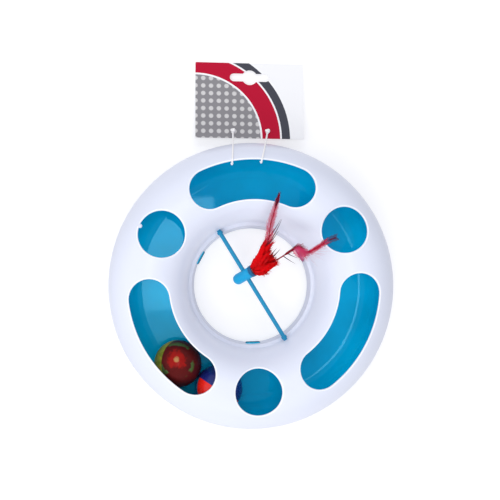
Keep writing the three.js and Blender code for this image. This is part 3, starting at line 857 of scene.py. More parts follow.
def skirt_band(wall):
    """The cover outside the openings: dome, skirt, its rounded foot and the rib that sits on the tray."""
    outer = PLAIN_BAND[1]
    start = math.degrees(math.acos((outer - CROWN_RADIUS) / (DISC_RADIUS - CROWN_RADIUS)))
    arcs, drops = 16, 6
    outline = [(outer, top_height(outer))]
    outline += [tuple(dome_point(start * (1 - i / arcs))) for i in range(1, arcs + 1)]
    fall = BELT_HEIGHT - FOOT_HEIGHT
    heights = [BELT_HEIGHT - fall * i / drops for i in range(1, drops + 1)]
    skirt = [(DISC_RADIUS - SKIRT_TUCK * ((BELT_HEIGHT - z) / fall) ** 2, z) for z in heights]
    outline += skirt + [(r - wall, z) for r, z in reversed(skirt)]
    rib_radius, rib_bottom, rib_top = RIB
    under = under_curve(wall)
    below = [p for p in under if p[0] > outer and p[1] < rib_bottom]
    above = [p for p in under if p[0] > outer and p[1] > rib_top]
    outline += below + [(below[-1][0], rib_bottom), (rib_radius, rib_bottom), (rib_radius, rib_top)]
    outline += [(above[0][0], rib_top)] + above + [(outer, under_height(under, outer))]
    return lathe(rounded(outline, SKIRT_ROUNDING), RING_STEPS)


def funnel_band(wall):
    """The cover inside the openings: funnel, ledge and collar, with a window for each snap hook."""
    inner = PLAIN_BAND[0]
    start, steps = funnel_share(inner), 22
    front = [tuple(funnel_point(start + (1 - start) * i / steps)) for i in range(steps + 1)]
    slope = Vector(COLLAR_TOP) - Vector(COLLAR_FOOT)
    back_shift = wall * slope.length / slope.y
    corner = Vector(COLLAR_TOP) + Vector((slope.y, -slope.x)).normalized() * wall

    def collar(z, offset=0.0):
        return (COLLAR_FOOT[0] + slope.x * (z - COLLAR_FOOT[1]) / slope.y + offset, z)

    low, high = WINDOW
    upper_rounding, lower_rounding = COLLAR_ROUNDING
    outline = rounded([*front, LEDGE, COLLAR_TOP, collar(high)], upper_rounding)
    front_high = len(outline) - 1
    front_low = front_high + 1
    outline += rounded([
        collar(low), collar(FOOT_HEIGHT), collar(FOOT_HEIGHT, back_shift), collar(low, back_shift),
    ], lower_rounding)
    back_low = len(outline) - 1
    back_high = back_low + 1
    under = under_curve(wall)
    outline += [collar(high, back_shift), tuple(corner)]
    outline += [p for p in reversed(under) if p[0] < inner] + [(inner, under_height(under, inner))]
    middles = [round(angle * RING_STEPS / 360) for angle in HOOK_ANGLES]
    half = WINDOW_HALF_STEPS

    def solid(row, i):
        if row not in (front_high, back_low):
            return True
        return not any(0 <= (i - middle + half) % RING_STEPS < 2 * half for middle in middles)

    points, faces = lathe(outline, RING_STEPS, keep=solid)

    def quad(*corners):
        faces.append(tuple(row * RING_STEPS + column for row, column in corners))

    for middle in middles:
        columns = [(middle - half + k) % RING_STEPS for k in range(2 * half + 1)]
        for a, b in ((front_high, back_high), (front_low, back_low)):
            for i, j in zip(columns, columns[1:]):
                quad((a, i), (a, j), (b, j), (b, i))
        for i in (columns[0], columns[-1]):
            quad((front_high, i), (front_low, i), (back_low, i), (back_high, i))
    return points, faces


def boss_place(turn):
    """Where a socket of the bar stands, in millimetres."""
    return Matrix.Translation((0, 0, AXLE_HEIGHT)) @ Matrix.Rotation(math.radians(AXLE_ANGLE + turn), 4, "Z")


def hole_nub():
    """The small moulding pip at the edge of the left hole."""
    radius, rise, root, sink = NUB
    steps = 6
    turns = [math.pi / 2 * i / steps for i in range(steps)]
    dome = [(radius * math.cos(t), rise * math.sin(t)) for t in turns] + [(0.0, rise)]
    at = polar(PATTERN_RADIUS, HOLE_ANGLES[1]) + polar(*NUB_PLACE)
    at.z = top_height(at.length) - sink
    return moved(lathe([(0.0, -root), (radius, -root), *dome], 20), Matrix.Translation(at))


class DISCTOY_OT_cover(bpy.types.Operator):
    """Domed white cover with its slots, holes, funnel and collar"""

    bl_idname = "disctoy.cover"
    bl_label = "Cover"

    def execute(self, context):
        sizes, colours = context.scene.disc_toy_sizes, context.scene.disc_toy_colours
        wall, lip = sizes.cover_wall / MM, sizes.lip_radius / MM
        points, faces, lips = pierced_band(sizes, wall, lip)
        boss = moved(rod(*BOSS), ALONG_X)
        bosses = [moved(boss, boss_place(turn)) for turn in (0, 180)]
        shell = merge([(points, faces), skirt_band(wall), funnel_band(wall), hole_nub(), *bosses])
        white = white_abs("moulded_white_abs", colours.cover)
        cover = piece(
            "cover_moulding", *shell, white, "base", "cover_white", ["top_cover"], sharp=50, lips=lips
        )
        # A whiter material on the lips paints a highlight round every opening.
        cover.data.materials.append(white_abs("painted_highlight_white_abs_lip", colours.lip))
        # The collar's wall inside the ledge takes a greyer white as painted shade.
        refinish_inside(cover, COLLAR_TOP[0], white_abs("painted_shade_white_abs_collar", colours.collar))
        return {"FINISHED"}


# Tray

def tray_ring():
    low, top = TRAY_FLOOR
    start = -90 + math.degrees(math.asin(CREASE_OFFSET / TROUGH_RADIUS))

    def trough(radius, degrees):
        angle = math.radians(degrees)
        return (TROUGH_CENTRE[0] + radius * math.cos(angle), TROUGH_CENTRE[1] + radius * math.sin(angle))

    rim_radius, rim_bottom, rim_top = RIM
    under_radius = TROUGH_RADIUS + TRAY_WALL
    outer_steps, inner_steps, rim_room = 20, 28, 1
    under = [trough(under_radius, start * (1 - i / outer_steps)) for i in range(1, outer_steps)]
    rise = [p for p in under if p[1] < rim_bottom - rim_room]
    inside = [trough(TROUGH_RADIUS, start * i / inner_steps) for i in range(inner_steps + 1)]
    flat = [(TRACK_RADIUS + CREASE_OFFSET - CREASE_EASE, top), (TRAY_BORE + TRAY_WALL + CREASE_EASE, top)]
    outline = [
        (TRAY_BORE, low), (TRACK_RADIUS + CREASE_OFFSET, low), *rise,
        (TRACK_RADIUS + under_radius, rim_bottom), (rim_radius, rim_bottom), (rim_radius, rim_top),
        (TRACK_RADIUS + TROUGH_RADIUS, rim_top), *inside, *flat,
        (TRAY_BORE + TRAY_WALL, top), (TRAY_BORE + TRAY_WALL, INNER_WALL_TOP), (TRAY_BORE, INNER_WALL_TOP),
    ]
    return lathe(rounded(outline, TRAY_ROUNDING, closed=True), RING_STEPS, closed=True)


class DISCTOY_OT_tray(bpy.types.Operator):
    """Blue track tray with its snap hooks and pad seats"""

    bl_idname = "disctoy.tray"
    bl_label = "Tray"

    def execute(self, context):
        colours = context.scene.disc_toy_colours
        tip, root, width, thick, height = HOOK
        low, high = (tip, -width / 2, height - thick / 2), (root, width / 2, height + thick / 2)
        hook = block(low, high, HOOK_BEVEL)
        parts = [tray_ring()]
        for angle in HOOK_ANGLES:
            parts.append(moved(hook, Matrix.Rotation(math.radians(angle), 4, "Z")))
        blue = blue_styrene(colours.tray)
        tray = piece("tray_moulding", *merge(parts), blue, "base", "tray_blue", ["track_tray"], sharp=30)
        for angle in PAD_ANGLES:
            carve(tray, moved(rod(*PAD_SEAT), Matrix.Translation(polar(PAD_CIRCLE, angle))))
        radius, start, end = BOSS
        room, past = NOTCH
        notch = moved(rod(radius + room, start - past, end + past), ALONG_X)
        for turn in (0, 180):
            carve(tray, moved(notch, boss_place(turn)))
        # The hooks' ends inside the collar take a darker satin blue as painted shade.
        refinish_inside(tray, HOOK_SHADE_RADIUS, satin_polypropylene("painted_shade_blue_hook_faces", colours.hook))
        return {"FINISHED"}


class DISCTOY_OT_feet(bpy.types.Operator):
    """Soft pads under the tray"""

    bl_idname = "disctoy.feet"
    bl_label = "Foot pads"

    def execute(self, context):
        foam = soft_foam()
        for i in range(1, 7):
            low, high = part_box(f"foot_pad_{i}")
            radius, height = (high.x - low.x) / 2 / MM, (high.z - low.z) / MM
            outline = ((0, 0), (radius, 0), (radius, height), (0, height))
            disc = lathe(rounded(outline, PAD_ROUNDING), TURNED_STEPS)
            place = Matrix.Translation(((low.x + high.x) / 2, (low.y + high.y) / 2, low.z))
            pad = piece(f"foot_foam_{i}", *disc, foam, "base", "foot_grey", [f"foot_pad_{i}"], place)
        return {"FINISHED"}


# Balls

def half_ball(radius, wall, side):
    """Half of a hollow ball with a stepped seam, its dome towards the given side along Y."""
    steps = 24

    def arc(r, share):
        start = math.asin(SEAM_GAP / r)
        angle = start + (math.pi / 2 - start) * share
        return (r * math.cos(angle) if share < 1 else 0.0, r * math.sin(angle))

    outside = [arc(radius, i / steps) for i in range(steps + 1)]
    inside = [arc(radius - wall, 1 - i / steps) for i in range(steps + 1)]
    edge = outside[0][0]
    lip = ((edge + inside[-1][0]) / 2, SEAM_GAP)
    seam = [lip, (edge - SEAM_STEP, SEAM_GAP), (radius * SEAM_DIP, SEAM_GAP + SEAM_STEP)]
    points, faces = lathe([*seam, *outside[1:], *inside, lip], BALL_STEPS)
    return [(p.x, side * p.z, p.y) for p in points], faces


class DISCTOY_OT_balls(bpy.types.Operator):
    """The two hollow track balls and the beads in them"""

    bl_idname = "disctoy.balls"
    bl_label = "Balls"

    def execute(self, context):
        sizes = context.scene.disc_toy_sizes
        finishes = {
            "ball_a": (marbled_styrene(POOL_WAY, CAP_WAY, sizes.ball_diameter / 2), "ball_marbled"),
            "ball_b": (wedge_styrene(POLE_WAY, EDGE_WAY), "ball_wedges"),
        }
        steel = bright_steel()
        for ball, (finish, slot) in finishes.items():
            centre = middle_of(f"{ball}_shell_left", f"{ball}_shell_right")
            turn = Matrix.Rotation(math.atan2(centre.y, centre.x), 4, "Z")
            for name, side in (("left", -1), ("right", 1)):
                shell = moved(half_ball(sizes.ball_diameter / MM / 2, sizes.ball_wall / MM, side), turn)
                piece(
                    f"{ball}_half_{name}", *shell, finish, ball, slot, [f"{ball}_shell_{name}"],
                    Matrix.Translation(centre),
                )
            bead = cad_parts[f"{ball}_rattle"]
            bead.data.materials.clear()
            bead.data.materials.append(steel)
            smooth = bead.modifiers.new("round_bead", "SUBSURF")
            smooth.levels = smooth.render_levels = 1
        return {"FINISHED"}


# Bar, hub and feathers

def spinner_place():
    return Matrix.Translation((0, 0, AXLE_HEIGHT * MM)) @ Matrix.Rotation(math.radians(AXLE_ANGLE), 4, "Z")


def head_place():
    """The hub's own frame: X along the bar and Y out along the feathers."""
    slide = Matrix.Translation((HUB_OFFSET * MM, 0, 0))
    return spinner_place() @ slide @ Matrix.Rotation(math.radians(HUB_TILT), 4, "X")


class DISCTOY_OT_bar(bpy.types.Operator):
    """Blue bar across the centre hole"""

    bl_idname = "disctoy.bar"
    bl_label = "Bar"

    def execute(self, context):
        sizes, colours = context.scene.disc_toy_sizes, context.scene.disc_toy_colours
        radius = sizes.axle_diameter / MM / 2
        collar, start, end = AXLE_COLLAR
        half = [(radius, start), (collar, start), (collar, end), (radius, end), (radius, AXLE_REACH)]
        outline = [(0.0, -AXLE_REACH), *((r, -z) for r, z in reversed(half)), *half, (0.0, AXLE_REACH)]
        bar = moved(lathe(rounded(outline, AXLE_ROUNDING), ROD_STEPS), ALONG_X)
        blue = satin_polypropylene("moulded_sky_blue_polypropylene", colours.bar)
        piece("bar_moulding", *bar, blue, "axle", "hub_blue", ["axle_bar"], spinner_place())
        return {"FINISHED"}


class DISCTOY_OT_hub(bpy.types.Operator):
    """Hub on the bar, its clamp ring and the plug that holds the quills"""

    bl_idname = "disctoy.hub"
    bl_label = "Hub"

    def execute(self, context):
        sizes, colours = context.scene.disc_toy_sizes, context.scene.disc_toy_colours
        place = head_place()
        tail, mouth = HUB_SPAN
        bore, seat = PLUG_BORE
        steps = 10
        turns = [math.pi / 2 * i / steps for i in range(steps + 1)]
        nose = [(HUB_RADIUS * math.sin(t), tail + HUB_RADIUS * (1 - math.cos(t))) for t in turns]
        outline = [*nose, (HUB_RADIUS, mouth), (bore, mouth), (bore, seat), (0.0, seat)]
        barrel = moved(lathe(rounded(outline, HUB_ROUNDING), TURNED_STEPS), ALONG_Y)
        blue = satin_polypropylene("moulded_bright_blue_polypropylene", colours.hub)
        hub = piece("hub_moulding", *barrel, blue, "feather_head", "hub_blue", ["swivel_hub"], place)
        room, reach = TUNNEL
        carve(hub, moved(rod(sizes.axle_diameter / MM / 2 + room, -reach, reach), ALONG_X))
        low, high = CLAMP_SPAN
        outline = [(bore, low), (CLAMP_RADIUS, low), (CLAMP_RADIUS, high), (bore, high)]
        profile = rounded(outline, HUB_ROUNDING, closed=True)
        ring = moved(lathe(profile, TURNED_STEPS, closed=True), ALONG_Y)
        blue = satin_polypropylene("moulded_deep_blue_polypropylene", colours.clamp)
        piece("clamp_ring_moulding", *ring, blue, "feather_head", "clamp_blue", ["clamp_ring"], place)
        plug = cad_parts["quill_plug"]
        plug.data.materials.clear()
        plug.data.materials.append(satin_polypropylene("natural_polypropylene", colours.plug))
        return {"FINISHED"}


def barb(root, way, bend, length, width):
    """A tapering hair with a curve in it."""
    steps, sides = 4, 3
    thick, taper = 1.05, 0.9
    course = [root + way * (length * k / steps) + bend * (length * (k / steps) ** 2) for k in range(steps + 1)]
    return sweep(course, lambda share, angle: width / 2 * (thick - taper * share), sides)


def on_course(course, share):
    """The point at a share of a course, and the way along it there."""
    last = len(course) - 1
    i = min(int(share * last), last - 1)
    return course[i].lerp(course[i + 1], share * last - i), (course[i + 1] - course[i]).normalized()


def barbs_along(rng, course, span, sides, count, half_width, lean, width):
    """Barbs on a quill over a span of it. half_width(share) is how far the vane reaches to each side."""
    up = Vector((0, 0, 1))
    parts = []
    for side in sides:
        for k in range(count):
            share = (k + rng.random()) / count
            root, along = on_course(course, span[0] + (span[1] - span[0]) * share)
            across = up.cross(along).normalized() * side
            angle = math.radians(lean * rng.uniform(0.75, 1.25))
            length = half_width(share) / math.sin(math.radians(lean)) * rng.uniform(0.75, 1.15)
            way = along * math.cos(angle) + across * math.sin(angle) + up * rng.uniform(-0.07, 0.09)
            bend = along * 0.1 - across * rng.uniform(0.0, 0.12) + up * rng.uniform(-0.06, 0.06)
            parts.append(barb(root, way, bend, length, width * rng.uniform(0.7, 1.3)))
    return merge(parts)


def web_along(rng, course, span, sides, half_width, lean, up=Vector((0, 0, 1)), steps=48):
    """The thin web between a quill and the ends of its barbs, ragged at its edge."""
    lanes, cup = 4, 0.12
    parts = []
    for side in sides:
        points = []
        for k in range(steps + 1):
            root, along = on_course(course, span[0] + (span[1] - span[0]) * k / steps)
            way = up.cross(along).normalized() * side + along / math.tan(math.radians(lean))
            reach = half_width(k / steps) * rng.uniform(0.72, 1.12)
            for j in range(lanes):
                out = reach * j / (lanes - 1)
                points.append(root + way * out + up * (cup * out * j / (lanes - 1)))
        parts.append((points, grid(steps + 1, lanes, round_columns=False)))
    return merge(parts)


def torn_sheet(rng, outline):
    """A thin sheet inside an outline, ragged at its edge."""
    ring = smooth_course((*outline, outline[0]), 6)[:-1]
    middle = sum(ring, Vector()) / len(ring)
    lanes, count = 4, len(ring)
    points = []
    for p in ring:
        reach = rng.uniform(0.86, 1.06)
        points.extend(middle.lerp(p, reach * k / lanes) for k in range(1, lanes + 1))
    faces = grid(count, lanes, round_rows=True, round_columns=False)
    faces += [(len(points), i * lanes, (i + 1) % count * lanes) for i in range(count)]
    return points + [middle], faces


def fringe(rng, outline, length, width):
    """Loose barbs round an outline, pointing out of it."""
    ring = smooth_course((*outline, outline[0]), 10)[:-1]
    middle = sum(ring, Vector()) / len(ring)
    parts = []
    for p in ring:
        out = (p - middle).normalized()
        way = (out + Vector((rng.uniform(-0.5, 0.5), rng.uniform(-0.2, 0.8), 0))).normalized()
        bend = Vector((0, 0, rng.uniform(-0.1, 0.1)))
        parts.append(barb(p - out, way, bend, length * rng.uniform(0.5, 1.2), width))
    return merge(parts)


def hairs(ends, width):
    """Single long barbs, each from its root to its end with a slight curve."""
    parts, curve = [], 0.08
    for root, end in ends:
        way = Vector(end) - Vector(root)
        bend = Vector((0, 0, 1)).cross(way) * curve
        parts.append(barb(Vector(root), way - bend, bend, 1.0, width))
    return merge(parts)


def tuft(rng, width):
    """Soft cores with small ragged feathers over them and short down at the root."""
    parts = []
    sunk, steps, sides = 0.6, 12, 24
    root_radius, ripple, flatness = 2.4, 0.16, 0.28
    for tip, swell in TUFT_CORES:
        start = Vector((0, TUFT_ROOT - sunk, 0))
        core = [start.lerp(Vector(tip), k / steps) for k in range(steps + 1)]

        def girth(share, angle):
            plain = root_radius * (1 - share) + swell * math.sin(math.pi * share)
            rippled = plain * (1 + ripple * math.sin(4 * angle + 6 * share))
            return rippled * (1 - flatness + flatness * math.cos(angle) ** 2)

        parts.append(sweep(core, girth, sides))
    for _ in range(TUFT_FEATHERS):
        tip = Vector(rng.choice(TUFT_TIPS))
        tip += Vector((rng.gauss(0, 1.1), rng.gauss(-0.8, 2.0), rng.gauss(0, 2.4)))
        tip.x = min(tip.x, TUFT_REACH)
        out = Vector((tip.x * 0.14 + rng.uniform(-2.2, 2.2), 0, rng.uniform(-2.8, 2.8)))
        root = Vector((0, TUFT_ROOT + rng.uniform(-1.6, 0.6), 0)) + out
        belly = root.lerp(tip, 0.5) + Vector((rng.uniform(-1.2, 1.2) - tip.x * 0.06, 0, out.z * 0.8))
        stem = smooth_course((root, belly, tip), 6)
        up = Vector((rng.uniform(-0.8, 0.8), 0, 1)).normalized()
        parts.append(web_along(
            rng, stem, (0.02, 0.96), BOTH, lambda t: 2.5 * math.sin(math.pi * (0.16 + 0.8 * t)), 44, up, 14
        ))
        parts.append(barbs_along(rng, stem, (0.1, 0.98), BOTH, 16, lambda t: 3.5 - 1.6 * t, 34, width * 1.7))
    for _ in range(TUFT_HAIRS):
        turn = rng.uniform(0, 2 * math.pi)
        out = Vector((math.cos(turn), 0, math.sin(turn)))
        root = Vector((0, TUFT_ROOT + rng.uniform(-0.8, 3.0), 0)) + out * rng.uniform(2.2, 3.6)
        way = (out * rng.uniform(0.55, 1.0) + Vector((0, rng.uniform(-0.4, 0.7), 0))).normalized()
        bend = Vector((0, rng.uniform(-0.1, 0.5), 0))
        parts.append(barb(root, way, bend, rng.uniform(2.5, 4.5), width * 1.9))
    return parts


class DISCTOY_OT_feathers(bpy.types.Operator):
    """Two long red feathers and the tuft at their root"""

    bl_idname = "disctoy.feathers"
    bl_label = "Feathers"

    def execute(self, context):
        sizes, colours = context.scene.disc_toy_sizes, context.scene.disc_toy_colours
        rng, stray = random.Random(41), random.Random(7)
        place = head_place()
        width = sizes.barb_width / MM
        vane_red = dyed_feather("dyed_feather_vane", colours.vane, 0.6)
        quill_red = dyed_feather("dyed_feather_quill", colours.quill, 0.35)
        down_red = dyed_feather("dyed_marabou_down", colours.feather, 0.75)
        web_red = dyed_feather("dyed_feather_web", colours.web, 0.6, 0.42)
        fold_red = dyed_feather("dyed_feather_fold", colours.web, 0.6, 0.6)
        tip_red = dyed_feather("dyed_feather_tip", colours.tip, 0.5, 0.5)
        end_red = dyed_feather("dyed_feather_end", colours.end, 0.5, 0.6)
        hair_grey = dyed_feather("undyed_feather_hair", colours.hair, 0.5)

        def fluff(name, parts, finish, node, sharp=180):
            piece(name, *merge(parts), finish, "feather_head", "feather_red", [node], place, sharp)

        node = "feather_left"
        course = smooth_course(LEFT_COURSE, 10)
        quill = sweep(course, lambda share, angle: 0.7 * (1.0 - 0.75 * share), 8)
        fluff("left_plume_quill", [quill], quill_red, node, SHARP_ANGLE)
        fluff("left_plume_web", [
            web_along(rng, course, (0.38, 0.97), BOTH, lambda t: (2.6 + 3.4 * t) * (1 - t) ** 0.8 + 0.7, 36),
        ], web_red, node)
        fluff("left_plume_vane", [
            barbs_along(rng, course, (0.36, 0.88), BOTH, 110, lambda t: 5.2 - 3.4 * t, 24, width),
            barbs_along(rng, course, (0.34, 0.50), BOTH, 30, lambda t: 5.0, 34, width),
        ], vane_red, node)
        fluff("left_plume_tip", [
            barbs_along(rng, course, (0.78, 0.96), BOTH, 80, lambda t: 2.1 - 1.2 * t, 13, width * 1.2),
        ], tip_red, node)
        fluff("left_plume_hairs", [hairs(LEFT_HAIRS, width * 7)], hair_grey, node)

        def bulge(t):
            return 1.0 + 8.5 * math.sin(math.pi * t) ** 2

        node = "feather_right"
        course = smooth_course(RIGHT_COURSE, 10)
        quill = sweep(course, lambda share, angle: 0.75 * (1.0 - 0.85 * share), 8)
        fluff("right_plume_quill", [quill], quill_red, node, SHARP_ANGLE)
        fluff("right_plume_web", [
            web_along(rng, course, (0.60, 0.86), BOTH, lambda t: 2.6 - 0.5 * t, 34),
        ], web_red, node)
        fluff("right_plume_fold", [
            torn_sheet(rng, FOLD_OUTLINE),
            torn_sheet(rng, FOLD_HEART),
            fringe(rng, FOLD_OUTLINE, 3.0, width * 1.6),
        ], fold_red, node)
        fluff("right_plume_vane", [
            barbs_along(rng, course, (0.46, 0.68), (-1,), 120, bulge, 74, width),
            barbs_along(rng, course, (0.46, 0.66), (1,), 50, lambda t: 2.6, 26, width),
            barbs_along(rng, course, (0.58, 0.83), BOTH, 100, lambda t: 2.1, 20, width),
            barbs_along(stray, course, (0.44, 0.58), (-1,), 40, lambda t: 3.0 + 3.0 * t, 34, width),
            barbs_along(stray, course, (0.57, 0.73), BOTH, 14, lambda t: 4.4, 17, width),
        ], vane_red, node)
        fluff("right_plume_tip", [
            web_along(rng, course, (0.80, 1.0), BOTH, lambda t: 2.9, 50),
            barbs_along(rng, course, (0.88, 0.99), BOTH, 16, lambda t: 0.9, 24, width * 1.4),
        ], end_red, node)
        fluff("right_plume_base", [
            barbs_along(rng, course, (0.30, 0.52), BOTH, 110, lambda t: 1.3 + 0.5 * t, 14, width * 1.5),
        ], quill_red, node)
        fluff("right_plume_hairs", [hairs(RIGHT_HAIRS, width * 5)], hair_grey, node)

        fluff("tuft_down", tuft(rng, width), down_red, "feather_tuft")
        return {"FINISHED"}


# Ties and card

def card_place():
    return (
        Matrix.Translation(Vector(CARD_HINGE) * MM)
        @ Matrix.Rotation(math.radians(CARD_YAW), 4, "Z")
        @ Matrix.Rotation(math.radians(CARD_TILT), 4, "X")
    )


def overhand_knot(diameter, cord):
    """A cord drawn into an overhand knot."""
    steps, reach, rise = 60, 3.0, 1.6
    tight, sides = 0.92, 10
    scale = (diameter - cord) / 2 / reach
    course = []
    for i in range(steps):
        t = 2 * math.pi * i / steps
        course.append(scale * Vector((
            math.sin(t) + 2 * math.sin(2 * t), math.cos(t) - 2 * math.cos(2 * t), -rise * math.sin(3 * t),
        )))
    return sweep(course, lambda share, angle: cord / 2 * tight, sides, closed=True)


class DISCTOY_OT_ties(bpy.types.Operator):
    """The two cords from the slot's edge to the card, with their knots"""

    bl_idname = "disctoy.ties"
    bl_label = "Ties"

    def execute(self, context):
        sizes, colours = context.scene.disc_toy_sizes, context.scene.disc_toy_colours
        cotton = cotton_cord(colours.cord)
        cord = sizes.cord_diameter / MM
        for name, route in (("left", LEFT_TIE), ("right", RIGHT_TIE)):
            course = smooth_course(route, 12)
            total = sum((b - a).length for a, b in zip(course, course[1:]))

            def ply(share, angle):
                twist = 2 * math.pi * share * total / CORD_LAY / CORD_PLIES
                return cord / 2 * (1 - CORD_RELIEF + CORD_RELIEF * math.cos(CORD_PLIES * (angle - twist)))

            twisted = sweep(course, ply, 18)
            tie = piece(f"tie_cord_{name}", *twisted, cotton, "base", "cord_white", [f"tie_{name}"])
            stop = piece(
                f"tie_stop_{name}", *overhand_knot(*STOP_KNOT), cotton, "base", "cord_white",
                [f"stop_knot_{name}"], Matrix.Translation(middle_of(f"stop_knot_{name}")),
            )
            knot_place = Matrix.Translation(middle_of(f"knot_{name}")) @ card_place().to_3x3().to_4x4()
            knot = piece(
                f"tie_knot_{name}", *overhand_knot(*CARD_KNOT), cotton, "card", "cord_white",
                [f"knot_{name}"], knot_place,
            )
        return {"FINISHED"}


def within(point, ring):
    """Whether a flat point lies inside a closed ring of points."""
    odd = False
    for a, b in zip(ring, ring[1:] + ring[:1]):
        if (a.y > point.y) != (b.y > point.y) and point.x < a.x + (point.y - a.y) * (b.x - a.x) / (b.y - a.y):
            odd = not odd
    return odd


def card_board(sizes):
    """The board with its rounded corners, hang slot and tie holes, as a closed shape."""
    x = sizes.card_width / MM / 2
    bottom = -TIE_HOLE_INSET
    top = sizes.card_length / MM - TIE_HOLE_INSET

    def arc(cx, cy, r, start, end, steps=12):
        turns = [math.radians(start + (end - start) * i / steps) for i in range(steps + 1)]
        return [Vector((cx + r * math.cos(t), cy + r * math.sin(t))) for t in turns]

    r = CARD_CORNER
    edge = arc(x - r, bottom + r, r, -90, 0, 8) + arc(x - r, top - r, r, 0, 90, 8)
    edge += arc(r - x, top - r, r, 90, 180, 8) + arc(r - x, bottom + r, r, 180, 270, 8)
    width, height, bay, rise = HANG_SLOT
    y, half = bottom + rise, height / 2
    meet = math.degrees(math.asin(half / (bay / 2)))
    straight = width / 2 - half
    slot = arc(straight, y, half, -90, 90) + arc(0, y, bay / 2, meet, 180 - meet)
    slot += arc(-straight, y, half, 90, 270) + arc(0, y, bay / 2, 180 + meet, 360 - meet)
    holes = [arc(side * TIE_HOLE_SPACING / 2, 0, TIE_HOLE_RADIUS, 0, 345, 23) for side in BOTH]
    points, edges = closed_loops([edge, slot, *holes])
    flat, _, triangles, *_ = delaunay_2d_cdt(points, edges, [], 0, WELD)

    def solid(triangle):
        middle = sum((flat[i] for i in triangle), Vector((0, 0))) / 3
        return not any(within(middle, ring) for ring in (slot, *holes))

    kept = [tuple(t) for t in triangles if solid(t)]
    upper = -CARD_SINK
    lower = upper - sizes.card_thickness / MM
    count = len(flat)
    faces = kept + [tuple(i + count for i in reversed(t)) for t in kept]
    faces += [(a, b, b + count, a + count) for a, b in edges]
    return [(p.x, p.y, z) for z in (upper, lower) for p in flat], faces


class DISCTOY_OT_card(bpy.types.Operator):
    """Printed header card on its two ties"""

    bl_idname = "disctoy.card"
    bl_label = "Header card"

    def execute(self, context):
        sizes, colours = context.scene.disc_toy_sizes, context.scene.disc_toy_colours
        corner = Vector((-sizes.card_width / 2, -TIE_HOLE_INSET * MM, -CARD_SINK * MM))
        board = coated_card(colours.card, corner)
        piece("card_board", *card_board(sizes), board, "card", "card_print", ["header_card"], card_place())
        return {"FINISHED"}


# Stage

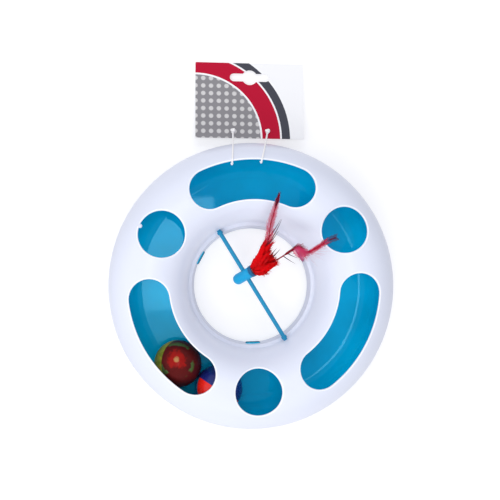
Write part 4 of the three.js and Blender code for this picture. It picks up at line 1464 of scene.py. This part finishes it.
class DISCTOY_OT_stage(bpy.types.Operator):
    """Pale floor, soft lights and the camera"""

    bl_idname = "disctoy.stage"
    bl_label = "Stage"

    def execute(self, context):
        scene = context.scene
        half = FLOOR_HALF * MM
        mesh = bpy.data.meshes.new("floor")
        corners = [(-half, -half, 0), (half, -half, 0), (half, half, 0), (-half, half, 0)]
        mesh.from_pydata(corners, [], [(0, 1, 2, 3)])
        mesh.materials.append(lit_paper(scene.disc_toy_colours.floor))
        floor = bpy.data.objects.new("floor", mesh)
        floor.location.z = -FLOOR_DROP * MM
        scene.collection.objects.link(floor)
        floor.visible_diffuse = False

        world = bpy.data.worlds.new("studio")
        world.use_nodes = True
        sky = world.node_tree.nodes["Background"]
        sky.inputs["Color"].default_value = linear(STUDIO_COLOUR)
        sky.inputs["Strength"].default_value = STUDIO_GLOW
        scene.world = world
        lights = (
            # name, place, aim, width, height, watts, whether it shows in gloss
            ("key_panel", (-0.363, -0.24, 0.95), (-0.363, -0.24, 0.0), 0.77, 0.815, 1.35, False),
            ("back_panel", (0.0, 0.95, 0.75), (0.0, 0.0, 0.02), 0.9, 0.6, 3.4, False),
            ("front_panel", (-0.1, -1.0, 0.75), (0.0, 0.0, 0.02), 0.9, 0.6, 6.4, False),
            ("left_panel", (-1.0, 0.0, 0.75), (0.0, 0.0, 0.02), 0.6, 0.9, 2.8, False),
            ("softbox", (-0.064, 0.059, 0.93), (-0.064, 0.059, 0.0), 0.172, 0.218, 0.55, True),
            ("softbox_fringe", (-0.064, -0.08, 0.93), (-0.064, -0.08, 0.0), 0.172, 0.06, 0.075, True),
        )
        for name, place, aim, width, height, power, in_gloss in lights:
            data = bpy.data.lights.new(name, "AREA")
            data.energy = power
            data.shape = "RECTANGLE"
            data.size = width
            data.size_y = height
            light = bpy.data.objects.new(name, data)
            light.location = place
            light.rotation_euler = (Vector(aim) - Vector(place)).to_track_quat("-Z", "Y").to_euler()
            light.visible_glossy = in_gloss
            scene.collection.objects.link(light)

        data = bpy.data.cameras.new("photo_camera")
        data.lens = CAMERA_LENS
        data.sensor_width = SENSOR_WIDTH
        camera = bpy.data.objects.new("photo_camera", data)
        back, up = Vector(CAMERA_BACK).normalized(), Vector(CAMERA_UP).normalized()
        turn = Matrix((up.cross(back), up, back)).transposed().to_4x4()
        camera.matrix_world = Matrix.Translation(Vector(CAMERA_PLACE) * MM) @ turn
        scene.collection.objects.link(camera)
        scene.camera = camera
        scene.view_settings.view_transform = "Standard"
        return {"FINISHED"}


# Sidebar and registration

class DISCTOY_PT_pieces(bpy.types.Panel):
    """Pieces of the toy, their sizes and colours"""

    bl_label = "Disc toy"
    bl_idname = "DISCTOY_PT_pieces"
    bl_space_type = "VIEW_3D"
    bl_region_type = "UI"
    bl_category = "Disc toy"

    def draw(self, context):
        layout = self.layout
        for operator in OPERATORS:
            layout.operator(operator.bl_idname)
        for group in (context.scene.disc_toy_sizes, context.scene.disc_toy_colours):
            box = layout.box()
            for name in group.__annotations__:
                box.prop(group, name)


OPERATORS = (
    DISCTOY_OT_stage,
    DISCTOY_OT_ties,
    DISCTOY_OT_cover,
    DISCTOY_OT_tray,
    DISCTOY_OT_feet,
    DISCTOY_OT_balls,
    DISCTOY_OT_bar,
    DISCTOY_OT_hub,
    DISCTOY_OT_feathers,
    DISCTOY_OT_card,
)
CLASSES = (DiscToySizes, DiscToyColours, *OPERATORS, DISCTOY_PT_pieces)


def register():
    for cls in CLASSES:
        bpy.utils.register_class(cls)
    bpy.types.Scene.disc_toy_sizes = bpy.props.PointerProperty(type=DiscToySizes)
    bpy.types.Scene.disc_toy_colours = bpy.props.PointerProperty(type=DiscToyColours)


def unregister():
    del bpy.types.Scene.disc_toy_colours
    del bpy.types.Scene.disc_toy_sizes
    for cls in reversed(CLASSES):
        bpy.utils.unregister_class(cls)


def main():
    register()
    bpy.ops.disctoy.stage()
    bpy.ops.disctoy.ties()
    bpy.ops.disctoy.cover()
    bpy.ops.disctoy.tray()
    bpy.ops.disctoy.feet()
    bpy.ops.disctoy.balls()
    bpy.ops.disctoy.bar()
    bpy.ops.disctoy.hub()
    bpy.ops.disctoy.feathers()
    bpy.ops.disctoy.card()


if __name__ == "__main__":
    main()
